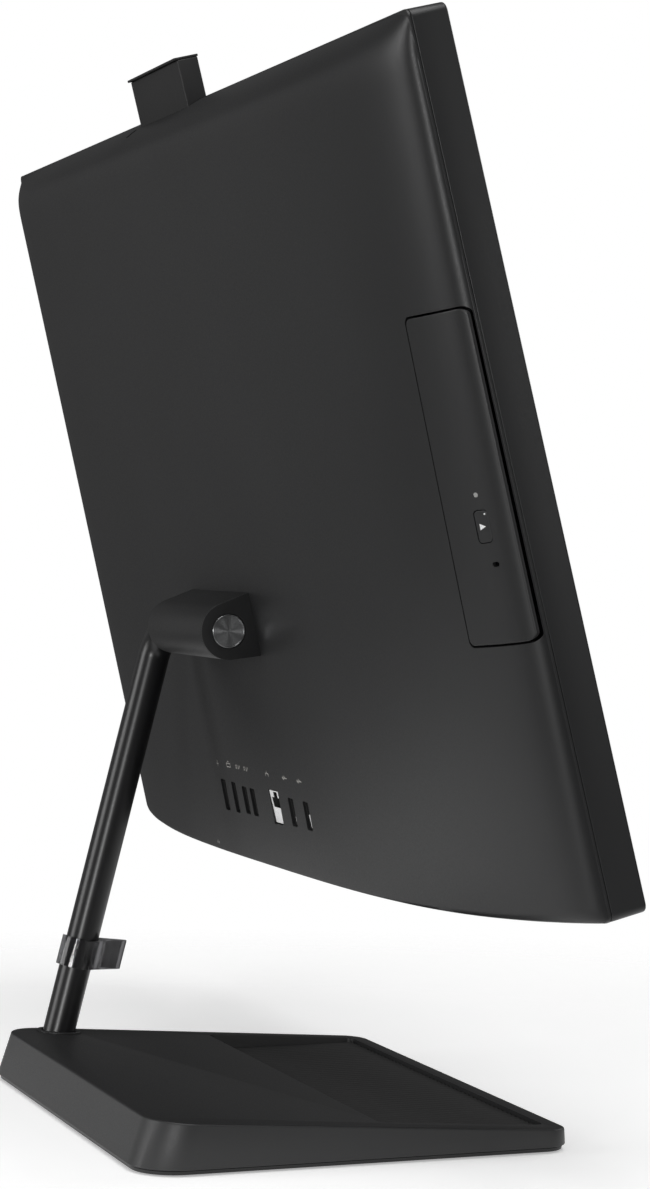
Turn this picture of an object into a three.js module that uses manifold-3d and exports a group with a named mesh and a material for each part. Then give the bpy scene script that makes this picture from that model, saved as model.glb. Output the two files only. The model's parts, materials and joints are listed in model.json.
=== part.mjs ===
// All-in-one PC: a tilting display head on an L-shaped tube stand with a wedge base.
// Millimetres, +Z up. The origin is on the desk, under the middle of the head.
// The screen faces -Y. X runs along the screen's width.
import * as THREE from 'three';
import { mergeVertices } from 'three/addons/utils/BufferGeometryUtils.js';
import Module from 'manifold-3d';

const wasm = await Module();
wasm.setup();

// ---- driving dimensions -------------------------------------------------------------
const GAP = 0.3; // clearance between pieces that touch
const WALL = 2.4; // moulded wall

const HEAD_W = 614; // head width
const HEAD_H = 372.7; // head height
const HEAD_T = 15.9; // depth of the straight side wall
const HEAD_R = 4; // corner radius of the head outline
const TILT = THREE.MathUtils.degToRad(14.3); // rest tilt of the head, leaning back
const SEAM_Y = -63.3; // bottom middle of the seam plane
const SEAM_Z = 117.0;

const BULGE_BOTTOM = 41; // depth of the rear cover at the bottom edge
const BULGE_TOP = 25; // and at the top edge
const BULGE_POWER = 3;
const BULGE_ROUND = 0.47;
const TOP_ROLL = 30; // height over which the cover rolls to the top edge
const RIM = 1.2; // thickness of the cover's own edge

const AXIS_S = 125.3; // hinge axis, up the head
const AXIS_N = 48.75; // hinge axis, behind the seam plane
const BLOCK_HALF = 44.5; // hinge block half length along X
const BLOCK_R = 13.6; // round back of the hinge block
const BLOCK_RISE = 15.2; // half height of the block's flat foot
const BLOCK_FOOT_N = 36.7; // flat foot of the block, just off the cover
const SHAFT_R = 5;

const TUBE_X = 65.7; // column plane
const TUBE_R = 8;
const TUBE_BEND = 18; // centreline bend radius
const TUBE_LEAN = THREE.MathUtils.degToRad(14.3); // the column leans forward
const TUBE_FOOT_Z = 6;
const TUBE_PLUG_X = 20; // the tube reaches this far into the hinge block

const BASE_X = -56.3; // middle of the base
const BASE_W = 270.4;
const BASE_D = 199.3;
const BASE_LIFT = 2.8; // shell edge above the desk
const BASE_BACK_H = 24;
const BASE_FRONT_H = 10.1;
const BASE_BACK_R = 22;
const BASE_FRONT_R = 12;
const BASE_BACK_INSET = 6.3; // the back wall leans in
const BASE_SIDE_INSET = 1.2;

const TRAY = { x0: -179, x1: 68, y0: -91, y1: -12.2, floor: 7.6, r: 4 }; // phone tray recess

const PORTS = [
  { name: 'port_dc_in', x: 55.5, w: 7.2, s0: 26, s1: 42, depth: 12 },
  { name: 'port_hdmi', x: 38.6, w: 6.6, s0: 26.2, s1: 41.8, depth: 10 },
  { name: 'port_usb3_a', x: 21.9, w: 7, s0: 27, s1: 40.8, depth: 12 },
  { name: 'port_usb3_b', x: 9.6, w: 7, s0: 27, s1: 40.8, depth: 12 },
  { name: 'port_ethernet', x: -24, w: 13.6, s0: 25.6, s1: 42.8, depth: 12 },
  { name: 'port_usb2_a', x: -48, w: 7, s0: 27, s1: 40.8, depth: 12 },
  { name: 'port_usb2_b', x: -69, w: 7, s0: 27, s1: 40.8, depth: 12 },
];
const PORT_MOUTH_N = 38.2; // connector mouths, just inside the cover's skin
const BOARD_N = 19; // back face of the motherboard

const ODD = { x0: -306, x1: -272.4, s0: 119.2, s1: 254.2 }; // drive bezel on the cover's side
const CAM = { half: 39, n0: -2.3, n1: 8, top: 391.9, height: 38, travel: 18.8 };

// ---- materials ----------------------------------------------------------------------
const paint = (color, roughness, metalness = 0) =>
  new THREE.MeshStandardMaterial({ color, roughness, metalness });
const shellBlack = () => paint(0x26282a, 0.55);
const softBlack = () => paint(0x1d1e20, 0.7);
const glossBlack = () => paint(0x101113, 0.15);
const steel = () => paint(0x9a9da1, 0.35, 1);
const copper = () => paint(0xb4704a, 0.35, 1);
const board = () => paint(0x14401f, 0.6);
const rubber = () => paint(0x151515, 0.9);

// ---- solids -------------------------------------------------------------------------
function toSolid(geometry) {
  const bare = geometry.clone();
  for (const name of Object.keys(bare.attributes)) {
    if (name !== 'position') bare.deleteAttribute(name);
  }
  const merged = mergeVertices(bare, 1e-4);
  const vertProperties = new Float32Array(merged.attributes.position.array);
  const triVerts = new Uint32Array(merged.index.array);
  return new wasm.Manifold(new wasm.Mesh({ numProp: 3, vertProperties, triVerts }));
}

function toGeometry(solid) {
  const mesh = solid.getMesh();
  const geometry = new THREE.BufferGeometry();
  geometry.setAttribute('position', new THREE.BufferAttribute(mesh.vertProperties, 3));
  geometry.setIndex(new THREE.BufferAttribute(mesh.triVerts, 1));
  geometry.computeVertexNormals();
  return geometry;
}

const cut = (body, ...tools) =>
  toGeometry(tools.reduce((solid, tool) => solid.subtract(toSolid(tool)), toSolid(body)));
const join = (body, ...more) =>
  toGeometry(more.reduce((solid, piece) => solid.add(toSolid(piece)), toSolid(body)));
const common = (a, b) => toGeometry(toSolid(a).intersect(toSolid(b)));

// A box given by its lowest and highest corner.
function block(x0, x1, y0, y1, z0, z1) {
  const geometry = new THREE.BoxGeometry(x1 - x0, y1 - y0, z1 - z0);
  return geometry.translate((x0 + x1) / 2, (y0 + y1) / 2, (z0 + z1) / 2);
}

// A rounded rectangle in the shape plane, with one radius for each end if two are given.
function roundedRect(x0, x1, y0, y1, rLow, rHigh = rLow) {
  const shape = new THREE.Shape();
  const quarter = Math.PI / 2;
  shape.absarc(x0 + rLow, y0 + rLow, rLow, 2 * quarter, 3 * quarter);
  shape.absarc(x1 - rLow, y0 + rLow, rLow, 3 * quarter, 4 * quarter);
  shape.absarc(x1 - rHigh, y1 - rHigh, rHigh, 0, quarter);
  shape.absarc(x0 + rHigh, y1 - rHigh, rHigh, quarter, 2 * quarter);
  shape.closePath();
  return shape;
}

// Extrudes a shape drawn in (X, Z) along Y, from y0 to y1.
function alongY(shape, y0, y1, curveSegments = 4) {
  const options = { depth: y1 - y0, bevelEnabled: false, curveSegments };
  const geometry = new THREE.ExtrudeGeometry(shape, options);
  return geometry.rotateX(Math.PI / 2).translate(0, y1, 0);
}

// Extrudes a shape drawn in (X, Y) along Z, from z0 to z1.
function alongZ(shape, z0, z1, curveSegments = 4) {
  const options = { depth: z1 - z0, bevelEnabled: false, curveSegments };
  return new THREE.ExtrudeGeometry(shape, options).translate(0, 0, z0);
}

// A round bar along X.
function barX(radius, x0, x1, y, z, sides = 24) {
  const geometry = new THREE.CylinderGeometry(radius, radius, x1 - x0, sides);
  return geometry.rotateZ(Math.PI / 2).translate((x0 + x1) / 2, y, z);
}

// A round bar along Y.
function barY(radius, y0, y1, x, z, sides = 24) {
  const geometry = new THREE.CylinderGeometry(radius, radius, y1 - y0, sides);
  return geometry.translate(x, (y0 + y1) / 2, z);
}

// A round bar along Z.
function barZ(radius, z0, z1, x, y, sides = 24) {
  const geometry = new THREE.CylinderGeometry(radius, radius, z1 - z0, sides);
  return geometry.rotateX(Math.PI / 2).translate(x, y, (z0 + z1) / 2);
}

// A closed solid between the plane y = floor and a height field over a grid of x and z.
function heightField(xs, zs, height, floor) {
  const points = [];
  const faces = [];
  const nx = xs.length;
  const nz = zs.length;
  for (const z of zs) for (const x of xs) points.push(x, height(x, z), z);
  for (const z of zs) for (const x of xs) points.push(x, floor, z);
  const top = (i, k) => k * nx + i;
  const low = (i, k) => nx * nz + k * nx + i;
  const quad = (a, b, c, d) => faces.push(a, b, c, a, c, d);
  for (let k = 0; k < nz - 1; k++) {
    for (let i = 0; i < nx - 1; i++) {
      quad(top(i, k), top(i, k + 1), top(i + 1, k + 1), top(i + 1, k));
      quad(low(i, k), low(i + 1, k), low(i + 1, k + 1), low(i, k + 1));
    }
    quad(low(0, k), low(0, k + 1), top(0, k + 1), top(0, k));
    quad(low(nx - 1, k), top(nx - 1, k), top(nx - 1, k + 1), low(nx - 1, k + 1));
  }
  for (let i = 0; i < nx - 1; i++) {
    quad(low(i, 0), top(i, 0), top(i + 1, 0), low(i + 1, 0));
    quad(low(i, nz - 1), low(i + 1, nz - 1), top(i + 1, nz - 1), top(i, nz - 1));
  }
  const geometry = new THREE.BufferGeometry();
  geometry.setAttribute('position', new THREE.Float32BufferAttribute(points, 3));
  geometry.setIndex(faces);
  return geometry;
}

// A closed solid between two outlines with the same number of [x, y, z] points.
function loft(lower, upper) {
  const count = lower.length;
  const middle = (ring) =>
    ring.reduce((sum, p) => sum.map((v, i) => v + p[i] / ring.length), [0, 0, 0]);
  const points = [...lower, ...upper, middle(lower), middle(upper)].flat();
  const faces = [];
  for (let i = 0; i < count; i++) {
    const j = (i + 1) % count;
    faces.push(i, j, count + j, i, count + j, count + i);
    faces.push(2 * count, j, i);
    faces.push(2 * count + 1, count + i, count + j);
  }
  const geometry = new THREE.BufferGeometry();
  geometry.setAttribute('position', new THREE.Float32BufferAttribute(points, 3));
  geometry.setIndex(faces);
  return geometry;
}

function piece(name, geometry, material) {
  const mesh = new THREE.Mesh(geometry, material);
  mesh.name = name;
  return mesh;
}

// ---- rear cover ---------------------------------------------------------------------
// Depth of the cover behind the seam plane, at x across and s up the head.
function coverDepth(x, s) {
  const across = Math.min(1, Math.abs(x) / (HEAD_W / 2));
  const lowRoll = 3 + 5 * across ** 4;
  const low = Math.min(1, Math.max(0, 1 - s / lowRoll));
  const high = Math.min(1, Math.max(0, 1 - (HEAD_H - s) / TOP_ROLL));
  const depth = BULGE_BOTTOM + ((BULGE_TOP - BULGE_BOTTOM) * s) / HEAD_H;
  const arch = (1 - across ** BULGE_POWER) ** BULGE_ROUND;
  return Math.max(RIM, depth * arch * (1 - low ** 2.5) ** 0.45 * (1 - high ** 4));
}

function coverGrid(grow) {
  const across = 30;
  const up = 18;
  const half = HEAD_W / 2 + grow;
  const xs = [];
  const zs = [];
  for (let i = 0; i <= across; i++) xs.push(half * Math.sin((Math.PI / 2) * ((2 * i) / across - 1)));
  for (let k = 0; k <= up; k++) {
    zs.push(-grow + ((HEAD_H + 2 * grow) * (1 - Math.cos((Math.PI * k) / up))) / 2);
  }
  return [xs, zs];
}

const headOutline = (inset) =>
  roundedRect(-HEAD_W / 2 + inset, HEAD_W / 2 - inset, inset, HEAD_H - inset, HEAD_R);

function coverBody() {
  const [xs, zs] = coverGrid(0.5);
  const field = heightField(xs, zs, coverDepth, GAP);
  return common(field, alongY(headOutline(0), -1, 60));
}

// The hollow behind the cover's skin: the same surface, drawn in by the wall on every side.
function coverHollow() {
  const [xs, zs] = coverGrid(-WALL);
  const shrink = (v, middle, size) => middle + ((v - middle) * size) / (size - 2 * WALL);
  const depth = (x, s) => {
    const outer = coverDepth(shrink(x, 0, HEAD_W), shrink(s, HEAD_H / 2, HEAD_H));
    return Math.max(-0.5, outer - WALL);
  };
  return heightField(xs, zs, depth, -1);
}

function portCuts() {
  const ease = 0.35;
  return PORTS.map((p) =>
    block(p.x - p.w / 2 - ease, p.x + p.w / 2 + ease, 25, 50, p.s0 - ease, p.s1 + ease));
}

function rearCover() {
  const driveBay = block(-HEAD_W, ODD.x1 + 0.4, -2, 60, ODD.s0 - 0.4, ODD.s1 + 0.4);
  const cameraSlot = block(
    -CAM.half - 0.6, CAM.half + 0.6, -2, CAM.n1 + 0.5, CAM.top - CAM.travel - 60, HEAD_H + 2);
  const screwHoles = bracketScrewPlaces().map(([x, s]) => barY(1.9, 20, 60, x, s, 12));
  return piece('rear_cover',
    cut(coverBody(), coverHollow(), ...portCuts(), driveBay, cameraSlot, ...screwHoles),
    shellBlack());
}

// ---- display ------------------------------------------------------------------------
const PANEL = { half: 300.5, s0: 27.5, s1: 366.5 };

function midFrame() {
  const outer = alongY(headOutline(0), -HEAD_T, 0);
  const inner = alongY(headOutline(2.6), -HEAD_T + 1.6, 1);
  const window = block(-PANEL.half + 2, PANEL.half - 2, -20, 0, PANEL.s0 + 2, PANEL.s1 - 2);
  const cameraSlot = block(
    -CAM.half - 0.6, CAM.half + 0.6, CAM.n0 - 0.5, 2, HEAD_H - 10, HEAD_H + 5);
  const buttonHole = block(78.6, 91.4, -10.4, -5.6, -2, 6);
  const vents = [];
  for (let i = 0; i < 14; i++) {
    for (const side of [-1, 1]) {
      const x = side * (70 + i * 12);
      vents.push(block(x - 3.5, x + 3.5, -9.5, -6.5, HEAD_H - 5, HEAD_H + 2));
    }
  }
  return piece('mid_frame',
    cut(outer, inner, window, cameraSlot, buttonHole, ...vents), shellBlack());
}

function displayPieces() {
  const front = -HEAD_T + 1.6 + GAP;
  const panel = block(-PANEL.half, PANEL.half, front, front + 6, PANEL.s0, PANEL.s1);
  const bar = alongY(roundedRect(-303, 303, 2.2, 16.2, 2), -HEAD_T - 1.6, -HEAD_T - GAP);
  const sheet = block(-302, 302, -4.8, -3.6, 24, 366);
  const openings = [];
  for (const x of [-230, -130, 130, 230]) openings.push(block(x - 34, x + 34, -6, 0, 60, 110));
  return [
    piece('lcd_panel', panel, paint(0x0b0c0e, 0.2)),
    piece('speaker_bar', bar, softBlack()),
    piece('chassis_plate', cut(sheet, ...openings), steel()),
  ];
}

// ---- electronics --------------------------------------------------------------------
function portConnector(p) {
  const shell = block(p.x - p.w / 2, p.x + p.w / 2, BOARD_N + GAP, PORT_MOUTH_N, p.s0, p.s1);
  const wall = p.name === 'port_ethernet' ? 1.1 : 0.7;
  const mouth = block(
    p.x - p.w / 2 + wall, p.x + p.w / 2 - wall, PORT_MOUTH_N - p.depth, 60,
    p.s0 + wall, p.s1 - wall);
  return piece(p.name, cut(shell, mouth), steel());
}

function memoryModule(index) {
  const s0 = 158 + index * 26;
  return piece(`ram_module_${index + 1}`,
    block(-76, -8, BOARD_N + 2.2, BOARD_N + 5.4, s0, s0 + 22), board());
}

function speaker(side, name) {
  const middle = side * 212;
  const box = block(middle - 48, middle + 48, -3.2, 9, 5, 24);
  const cone = barY(7.5, -4, -0.5, middle, 14.5, 20);
  return piece(name, cut(box, cone), softBlack());
}

function electronics() {
  const pcb = block(-90, 112, BOARD_N - 1.6, BOARD_N, 18, 214);
  const sink = block(24, 84, BOARD_N + GAP, BOARD_N + 7, 154, 208);
  const sinkSlots = [];
  for (let i = 0; i < 7; i++) {
    sinkSlots.push(block(20, 90, BOARD_N + 3, 40, 159 + i * 7, 162.5 + i * 7));
  }
  const pipe = block(50, 212, BOARD_N - 6.5, BOARD_N - 2.2, 222, 230);
  const pipeDrop = block(50, 60, BOARD_N - 6.5, BOARD_N - 2.2, 180, 230);
  const fins = block(140, 212, 3, 12, 234, 248);
  const finSlots = [];
  for (let i = 0; i < 11; i++) {
    finSlots.push(block(144 + i * 6, 147 + i * 6, 4.5, 20, 230, 252));
  }
  return [
    piece('motherboard', pcb, board()),
    piece('cpu_heatsink', cut(sink, ...sinkSlots), paint(0xa7abb0, 0.4, 1)),
    piece('heat_pipe', join(pipe, pipeDrop), copper()),
    piece('fin_stack', cut(fins, ...finSlots), paint(0xa7abb0, 0.4, 1)),
    piece('ssd_card', block(-84, -4, BOARD_N + 1.2, BOARD_N + 3.6, 60, 82), board()),
    memoryModule(0),
    memoryModule(1),
    piece('wifi_card', block(66, 96, BOARD_N + 1.2, BOARD_N + 3.4, 62, 84), board()),
    piece('hard_drive', block(-256, -156, 1, 8, 34, 104), paint(0x8b8f94, 0.45, 0.8)),
    piece('coin_cell', barY(10, BOARD_N + GAP, BOARD_N + 3.5, 92, 112, 28), steel()),
    speaker(-1, 'speaker_left'),
    speaker(1, 'speaker_right'),
    ...PORTS.map(portConnector),
  ];
}

const FAN = { x: 176, s: 292, r: 34, n0: 1, n1: 13 };

function blower() {
  const body = alongY(roundedRect(FAN.x - 40, FAN.x + 40, FAN.s - 40, FAN.s + 40, 12), FAN.n0, FAN.n1);
  const well = barY(FAN.r + 1.6, FAN.n0 + 1.2, 30, FAN.x, FAN.s, 36);
  const outlet = block(FAN.x - 30, FAN.x + 32, FAN.n0 + 1.2, 30, FAN.s - 60, FAN.s);
  return piece('blower_housing', cut(body, well, outlet), softBlack());
}

function impeller() {
  const blades = 17;
  const hub = barY(13, FAN.n0 + 1.8, FAN.n1 - 1, FAN.x, FAN.s, 24);
  const ring = cut(
    barY(FAN.r, FAN.n0 + 1.8, FAN.n0 + 3, FAN.x, FAN.s, 36),
    barY(12, 0, 30, FAN.x, FAN.s, 24));
  const vanes = [];
  for (let i = 0; i < blades; i++) {
    const vane = block(11, FAN.r - 0.5, -0.5, 0.5, 0, FAN.n1 - FAN.n0 - 2.8);
    vane.rotateZ((2 * Math.PI * i) / blades).rotateX(-Math.PI / 2);
    vanes.push(vane.translate(FAN.x, FAN.n0 + 1.8, FAN.s));
  }
  return piece('blower_impeller', join(hub, ring, ...vanes), softBlack());
}

// ---- optical drive ------------------------------------------------------------------
const DRIVE = { x0: -270, x1: -143, n0: 3, n1: 14.6, s0: 122.5, s1: 250.5 };
const EJECT = { x0: -297.3, x1: -290.7, s0: 160.8, s1: 173.8 };

function driveCase() {
  const skin = 0.8;
  const body = block(DRIVE.x0, DRIVE.x1, DRIVE.n0, DRIVE.n1, DRIVE.s0, DRIVE.s1);
  const bay = block(
    DRIVE.x0 - 5, DRIVE.x1 - skin, DRIVE.n0 + skin, DRIVE.n1 - skin,
    DRIVE.s0 + skin, DRIVE.s1 - skin);
  return piece('odd_case', cut(body, bay), steel());
}

const TRAY_N = { low: DRIVE.n0 + 1.4, high: DRIVE.n1 - 3.6 };
const DISC = { x: -214, s: (DRIVE.s0 + DRIVE.s1) / 2, r: 60.5 };

function driveTray() {
  const front = ODD.x0 + 22;
  const body = block(front, -147, TRAY_N.low, TRAY_N.high, DRIVE.s0 + 1.4, DRIVE.s1 - 1.4);
  const discWell = barY(DISC.r, -10, TRAY_N.low + 1.6, DISC.x, DISC.s, 48);
  const spindleHole = barY(10.5, -10, 30, DISC.x, DISC.s, 28);
  const sledSlot = block(DISC.x + 10, -150.5, -10, 30, DISC.s - 13, DISC.s + 13);
  return piece('odd_tray', cut(body, discWell, spindleHole, sledSlot), softBlack());
}

function bezelCut(x0, x1, s0, s1, r) {
  return alongY(roundedRect(x0, x1, s0, s1, r), -5, 60);
}

// A slice of the cover's own surface, a given thickness deep.
function coverSlice(shape, thickness, lowest) {
  const [xs, zs] = coverGrid(0.5);
  const outer = heightField(xs, zs, coverDepth, 0);
  const inner = heightField(xs, zs, (x, s) => Math.max(-1, coverDepth(x, s) - thickness), -2);
  const slice = cut(common(outer, shape), inner);
  return cut(slice, block(-400, 400, -10, lowest, -10, 400));
}

function driveBezel() {
  const outline = bezelCut(ODD.x0, ODD.x1, ODD.s0, ODD.s1, 3);
  const ease = 0.35;
  const buttonHole = bezelCut(
    EJECT.x0 - ease, EJECT.x1 + ease, EJECT.s0 - ease, EJECT.s1 + ease, 1.8);
  const lampHole = barY(1, -5, 60, -293.7, 180.3, 12);
  const pinHole = bezelCut(-298.2, -295, 150.6, 152.6, 0.9);
  const skin = coverSlice(outline, 3, 1.6);
  return piece('odd_bezel', cut(skin, buttonHole, lampHole, pinHole), shellBlack());
}

function ejectButton() {
  const shape = bezelCut(EJECT.x0, EJECT.x1, EJECT.s0, EJECT.s1, 1.5);
  return piece('eject_button', coverSlice(shape, 3.4, 1.6), shellBlack());
}

function discSpindle() {
  const hub = barY(7.2, TRAY_N.low - 0.4, TRAY_N.low + 2.6, DISC.x, DISC.s, 28);
  const flange = barY(10, TRAY_N.low + 1.4, TRAY_N.high - 0.4, DISC.x, DISC.s, 28);
  return piece('disc_spindle', join(hub, flange), steel());
}

function laserSled() {
  const body = block(DISC.x + 14, DISC.x + 30, TRAY_N.low + 1, TRAY_N.high - 0.6,
    DISC.s - 11, DISC.s + 11);
  const eye = barY(2.2, TRAY_N.low + 0.2, TRAY_N.low + 1.4, DISC.x + 20, DISC.s, 16);
  return piece('laser_sled', join(body, eye), steel());
}

// ---- pop-up camera ------------------------------------------------------------------
function cameraPieces() {
  const low = CAM.top - CAM.height;
  const body = block(-CAM.half, CAM.half, CAM.n0, CAM.n1, low, CAM.top - GAP);
  const eye = barY(3.6, CAM.n0 - 1, CAM.n0 + 2.2, 0, CAM.top - 9, 24);
  const cap = block(-CAM.half, CAM.half, CAM.n0 - 0.4, CAM.n1 + 1.5, CAM.top, CAM.top + 1.6);
  const lens = barY(3.3, CAM.n0 + 0.1, CAM.n0 + 1.9, 0, CAM.top - 9, 24);
  return [
    piece('camera_housing', cut(body, eye), softBlack()),
    piece('camera_cap', cap, shellBlack()),
    piece('camera_lens', lens, glossBlack()),
  ];
}

function cameraGuide() {
  const low = CAM.top - CAM.height - CAM.travel - 2;
  const plate = block(-CAM.half - 4, CAM.half + 4, CAM.n0 - 1, CAM.n1 + 2.2, low, 360);
  const channel = block(-CAM.half - 0.6, CAM.half + 0.6, CAM.n0 - 2, CAM.n1 + 0.5, low + 1.6, 380);
  return piece('camera_guide', cut(plate, channel), steel());
}

// ---- hinge --------------------------------------------------------------------------
function bracketScrewPlaces() {
  const places = [];
  for (const x of [-34, 34]) for (const s of [-9, 9]) places.push([x, AXIS_S + s]);
  return places;
}

// D-shaped section in (Y, Z): a flat foot on the cover and a round back, with tangent sides.
function blockSection() {
  const reach = AXIS_N - BLOCK_FOOT_N;
  const span = Math.hypot(reach, BLOCK_RISE);
  const turn = Math.atan2(BLOCK_RISE, -reach) - Math.acos(BLOCK_R / span);
  const shape = new THREE.Shape();
  shape.moveTo(BLOCK_FOOT_N, AXIS_S - BLOCK_RISE);
  shape.absarc(AXIS_N, AXIS_S, BLOCK_R, -turn, turn);
  shape.lineTo(BLOCK_FOOT_N, AXIS_S + BLOCK_RISE);
  shape.closePath();
  return shape;
}

// Extrudes a shape drawn in (Y, Z) along X, from x0 to x1.
function alongX(shape, x0, x1, curveSegments = 12) {
  const options = { depth: x1 - x0, bevelEnabled: false, curveSegments };
  const geometry = new THREE.ExtrudeGeometry(shape, options);
  const turn = new THREE.Matrix4().makeBasis(
    new THREE.Vector3(0, 1, 0), new THREE.Vector3(0, 0, 1), new THREE.Vector3(1, 0, 0));
  return geometry.applyMatrix4(turn).translate(x0, 0, 0);
}

function hingePieces() {
  const body = alongX(blockSection(), -BLOCK_HALF, BLOCK_HALF);
  const tubeBore = barX(TUBE_R + 0.35, TUBE_PLUG_X - 1, 60, AXIS_N, AXIS_S, 32);
  const shaftBore = barX(SHAFT_R + 0.35, -38, 60, AXIS_N, AXIS_S, 28);
  const capSeat = barX(8.3, -60, -BLOCK_HALF + 1.8, AXIS_N, AXIS_S, 36);
  const screwHoles = bracketScrewPlaces().map(([x, s]) => barY(1.6, 30, 42, x, s, 12));
  const capRim = 8;
  const capProfile = [
    [0, 0], [capRim, 0], [capRim, 1.4], [capRim - 0.6, 1.5], [0.6, 1], [0, 1],
  ].map(([r, h]) => new THREE.Vector2(r, h));
  const cap = new THREE.LatheGeometry(capProfile, 36);
  cap.rotateZ(Math.PI / 2).translate(-BLOCK_HALF + 1.5, AXIS_N, AXIS_S);
  const plate = block(-56, 56, 27, 28.6, AXIS_S - 22, AXIS_S + 22);
  const wing = block(-14, 14, 27, 28.6, AXIS_S + 20, AXIS_S + 60);
  const holes = bracketScrewPlaces().map(([x, s]) => barY(1.7, 20, 40, x, s, 12));
  const screws = bracketScrewPlaces().map(([x, s], i) => {
    const shank = barY(1.3, 26.5, 40.5, x, s, 12);
    const head = barY(2.8, 25, 26.7, x, s, 16);
    return piece(`hinge_screw_${i + 1}`, join(shank, head), steel());
  });
  return [
    piece('hinge_block', cut(body, tubeBore, shaftBore, capSeat, ...screwHoles), shellBlack()),
    piece('hinge_cap', cap, paint(0x55585c, 0.3, 1)),
    piece('hinge_bracket', cut(join(plate, wing), ...holes), steel()),
    ...screws,
  ];
}

// The hinge axis in the object's own frame.
const AXIS_Y = SEAM_Y + AXIS_S * Math.sin(TILT) + AXIS_N * Math.cos(TILT);
const AXIS_Z = SEAM_Z + AXIS_S * Math.cos(TILT) - AXIS_N * Math.sin(TILT);

// ---- stand --------------------------------------------------------------------------
// A point on the column's straight centreline, a given distance below the hinge axis line.
function columnPoint(down) {
  return new THREE.Vector3(
    TUBE_X, AXIS_Y + down * Math.sin(TUBE_LEAN), AXIS_Z - down * Math.cos(TUBE_LEAN));
}

const circle = (radius) => new THREE.Shape().absarc(0, 0, radius, 0, 2 * Math.PI);

function sweep(shape, curve, steps, curveSegments = 12) {
  return new THREE.ExtrudeGeometry(shape, { steps, extrudePath: curve, curveSegments });
}

const ELBOW_STEPS = 10;

// The column's centreline: up the lean, round the elbow and into the hinge block. Its
// parameter gives the elbow all its samples but the first and the last.
class ColumnPath extends THREE.Curve {
  getUtoTmapping(u) {
    return u;
  }

  getPoint(t) {
    const step = t * (ELBOW_STEPS + 2);
    if (step < 1) {
      const length = (AXIS_Z - TUBE_FOOT_Z) / Math.cos(TUBE_LEAN);
      return columnPoint(THREE.MathUtils.lerp(length, TUBE_BEND, step));
    }
    const turn = (Math.PI / 2) * Math.min(1, (step - 1) / ELBOW_STEPS);
    const point = columnPoint(TUBE_BEND * (1 - Math.sin(turn)));
    point.x -= TUBE_BEND * (1 - Math.cos(turn));
    const past = Math.max(0, step - 1 - ELBOW_STEPS);
    point.x -= past * (TUBE_X - TUBE_BEND - TUBE_PLUG_X);
    return point;
  }
}

function column() {
  const tube = sweep(circle(TUBE_R), new ColumnPath(), ELBOW_STEPS + 2);
  return piece('column_tube', tube, glossBlack());
}

function topHeight(y) {
  const t = (y + BASE_D / 2) / BASE_D;
  return BASE_FRONT_H + (BASE_BACK_H - BASE_FRONT_H) * t;
}

// The base's outline, drawn in by a margin on the sides, the back and the front.
function baseOutline(side, back, front, height) {
  const x0 = BASE_X - BASE_W / 2 + side;
  const x1 = BASE_X + BASE_W / 2 - side;
  const shape = roundedRect(x0, x1, -BASE_D / 2 + front, BASE_D / 2 - back,
    BASE_FRONT_R - Math.min(side, 4), BASE_BACK_R - Math.min(side, 4));
  const points = shape.getPoints(6);
  points.pop();
  return points.map((p) => [p.x, p.y, height(p.y)]);
}

function trayRecess() {
  const shape = roundedRect(TRAY.x0, TRAY.x1, TRAY.y0, TRAY.y1, TRAY.r);
  return alongZ(shape, TRAY.floor, 40);
}

// The collar's centre, where the column meets the sloping top.
function footPoint() {
  const rise = (BASE_BACK_H - BASE_FRONT_H) / BASE_D;
  const y = (AXIS_Y + (AXIS_Z - topHeight(0)) * Math.tan(TUBE_LEAN))
    / (1 + rise * Math.tan(TUBE_LEAN));
  return new THREE.Vector3(TUBE_X, y, topHeight(y));
}

function columnCore(radius, z0, z1) {
  const at = (z) => columnPoint((AXIS_Z - z) / Math.cos(TUBE_LEAN));
  return sweep(circle(radius), new THREE.LineCurve3(at(z0), at(z1)), 1);
}

function baseShell() {
  const outer = loft(
    baseOutline(0, 0, 0, () => BASE_LIFT),
    baseOutline(BASE_SIDE_INSET, BASE_BACK_INSET, 0.2, topHeight));
  const inner = loft(
    baseOutline(3, 3, 3, () => BASE_LIFT - 1),
    baseOutline(4.2, 9.3, 3.2, (y) => topHeight(y) - 2.6));
  const pan = roundedRect(TRAY.x0 - 3, TRAY.x1 + 3, TRAY.y0 - 3, TRAY.y1 + 3, TRAY.r + 3);
  const panWall = alongZ(pan, TRAY.floor - 2.2, 40);
  const hollow = cut(inner, panWall);
  return piece('base_shell',
    cut(outer, hollow, trayRecess(), columnCore(TUBE_R + 0.35, 0, 40)), shellBlack());
}

function feet() {
  const spots = {
    foot_front_left: [BASE_X - 112, -82],
    foot_front_right: [BASE_X + 112, -82],
    foot_back_left: [BASE_X - 108, 76],
    foot_back_right: [BASE_X + 88, 84],
  };
  return Object.entries(spots).map(([name, [x, y]]) =>
    piece(name, barZ(8, 0, 2, x, y, 28), rubber()));
}

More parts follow.
